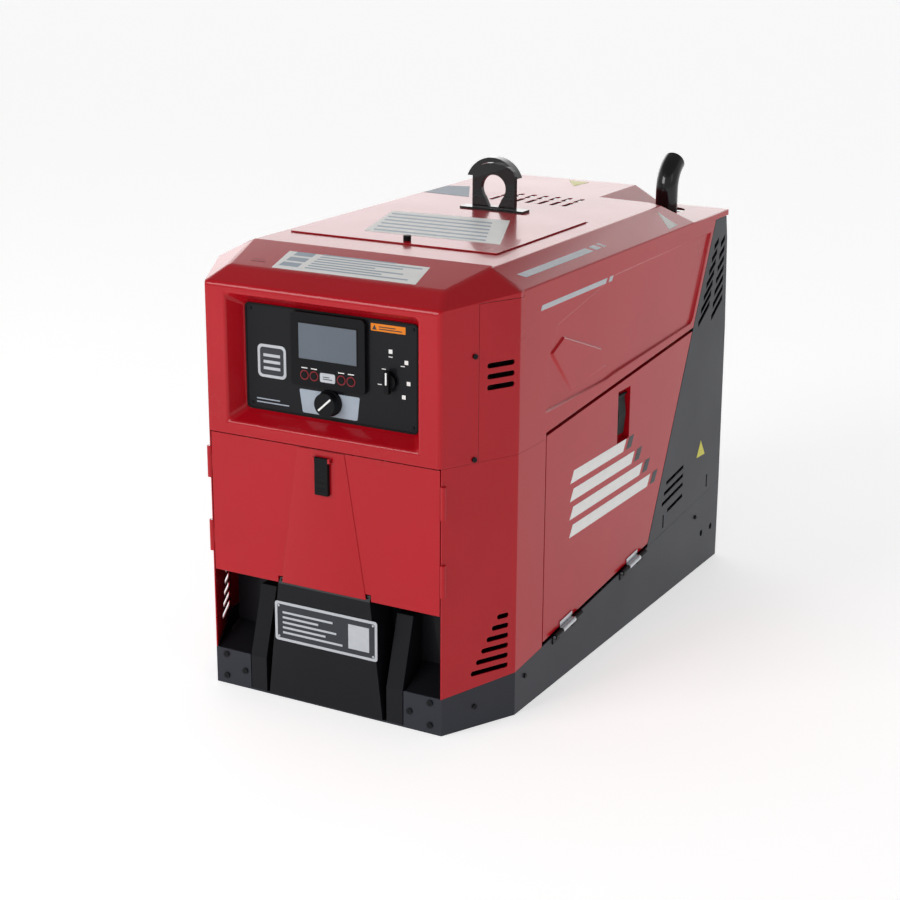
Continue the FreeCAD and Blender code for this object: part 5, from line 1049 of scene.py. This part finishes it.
screw_mesh = copy_of("screws")
sockets = []
for head in islands(screw_mesh):
    middle = sum((face.calc_center_median() for face in head), Vector()) / len(head)
    outward = Vector((middle.x, middle.y, 0))
    largest = max(head, key=lambda face: face.calc_area() * (1 if face.normal.dot(outward) > 0 else 0.5))
    sockets.append(socket_on(largest))
screw_mesh.free()
# painted shade: dark insets stand for the shaded hollows of the sockets
finish_piece("screw_sockets", join_meshes(sockets), black_rubber, "machine", "black")
print("screw sockets:", len(sockets))

# %% [markdown]
# ## Behind the front door
# A weld stud carries a brass nut and a washer on a moulded collar. Nuts are six-sided cones with bevelled
# corners, washers and collars are spun rings. The slots of the outlets are dark film, painted shade where the
# holes would be.

# %% Weld studs and outlets behind the front door
OUTPUT_FACE_MM = -472.3
OUTLET_FRONT_MM = -486.3
STUD_HEIGHT_MM = 290
OUTLET_HEIGHT_MM = 385
stud_face = front_plane(OUTPUT_FACE_MM)
outlet_face = front_plane(OUTLET_FRONT_MM)


def hexagon_nut(place, u, v, low_mm, thick_mm, radius_mm):
    """A six-sided nut with its corners turned off, on a surface."""
    mesh = bmesh.new()
    bmesh.ops.create_cone(
        mesh, cap_ends=True, segments=6, radius1=radius_mm * MM, radius2=radius_mm * MM, depth=thick_mm * MM,
    )
    bmesh.ops.bevel(
        mesh, geom=list(mesh.edges), offset=0.7 * MM, affect="EDGES", segments=2, profile=0.5, material=-1,
    )
    seat = Matrix.Translation((u * MM, v * MM, (low_mm + thick_mm / 2) * MM))
    bmesh.ops.transform(mesh, matrix=place @ seat, verts=mesh.verts)
    return mesh


STUDS = (-70, 0, 70)
ROUND_OUTLETS = (-150, 150)
DUPLEX_OUTLETS = (-45, 45)
DUPLEX_HALF_PITCH = 17
nuts = [hexagon_nut(stud_face, u, STUD_HEIGHT_MM, 8, 8, 13) for u in STUDS]
washer_seat = stud_face @ Matrix.Translation((0, 0, 6 * MM))
washers = [ring(washer_seat, u, STUD_HEIGHT_MM, 8.4, 15, 1.6) for u in STUDS]
collars = [ring(stud_face, u, STUD_HEIGHT_MM, 16.4, 24, 5) for u in STUDS]
finish_piece("weld_stud_nuts", join_meshes(nuts + washers), turned_brass, "machine", "brass")
finish_piece("weld_stud_collars", join_meshes(collars), black_plastic, *FILM)
bezels = [ring(outlet_face, u, OUTLET_HEIGHT_MM, 20, 27, 1.2) for u in ROUND_OUTLETS]
finish_piece("outlet_bezels", join_meshes(bezels), black_plastic, *FILM)
slots = []
for u in ROUND_OUTLETS:
    slots += [box_shape(u - 1.5 + dx, OUTLET_HEIGHT_MM - 6 + dz, u + 1.5 + dx, OUTLET_HEIGHT_MM + 6 + dz)
              for dx, dz in ((-9, 0), (9, 0), (0, -11), (0, 11))]
for u in DUPLEX_OUTLETS:
    for dz in (-DUPLEX_HALF_PITCH, DUPLEX_HALF_PITCH):
        slots += [box_shape(u - 5.5, OUTLET_HEIGHT_MM + dz - 4, u - 3.5, OUTLET_HEIGHT_MM + dz + 4),
                  box_shape(u + 3.5, OUTLET_HEIGHT_MM + dz - 4, u + 5.5, OUTLET_HEIGHT_MM + dz + 4)]
# painted shade: dark film stands for the shaded inside of the outlet slots
decal("outlet_slots", outlet_face, slots, black_rubber, "machine", "rubber", 0.15, 0.5)
decal("duplex_faces", outlet_face, [
    box_shape(u - 13, OUTLET_HEIGHT_MM + dz - 12, u + 13, OUTLET_HEIGHT_MM + dz + 12)
    for u in DUPLEX_OUTLETS for dz in (-DUPLEX_HALF_PITCH, DUPLEX_HALF_PITCH)
], tank_plastic, *FILM, 0.1, 4)
decal("output_captions", stud_face, [box_shape(u - 11, 256, u + 11, 259) for u in STUDS]
      + [box_shape(u - 14, 345, u + 14, 348) for u in (-150, -45, 45, 150)],
      white_print, *FILM, 0.1)
print("studs", len(STUDS), "outlet slots", len(slots))

# %% [markdown]
# ## The front latch
# The latch has six dark grip bands, level with its face so that it keeps its size.

# %% Latch ribs
RIB_LOW, RIB_PITCH, RIB_TALL = 400, 5, 2.4
RIB_COUNT = 6
latch_face = front_plane(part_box("front_latch")[0].y / MM, 3)
ribs = [box_shape(-8, RIB_LOW + step * RIB_PITCH, 8, RIB_LOW + RIB_TALL + step * RIB_PITCH)
        for step in range(RIB_COUNT)]
decal("front_latch_ribs", latch_face, ribs, black_rubber, "front_latch_body", "plastic", 0.001, 0.6)
print("bands on the latch:", len(ribs))

# %% Finish the scene
bpy.context.view_layer.update()
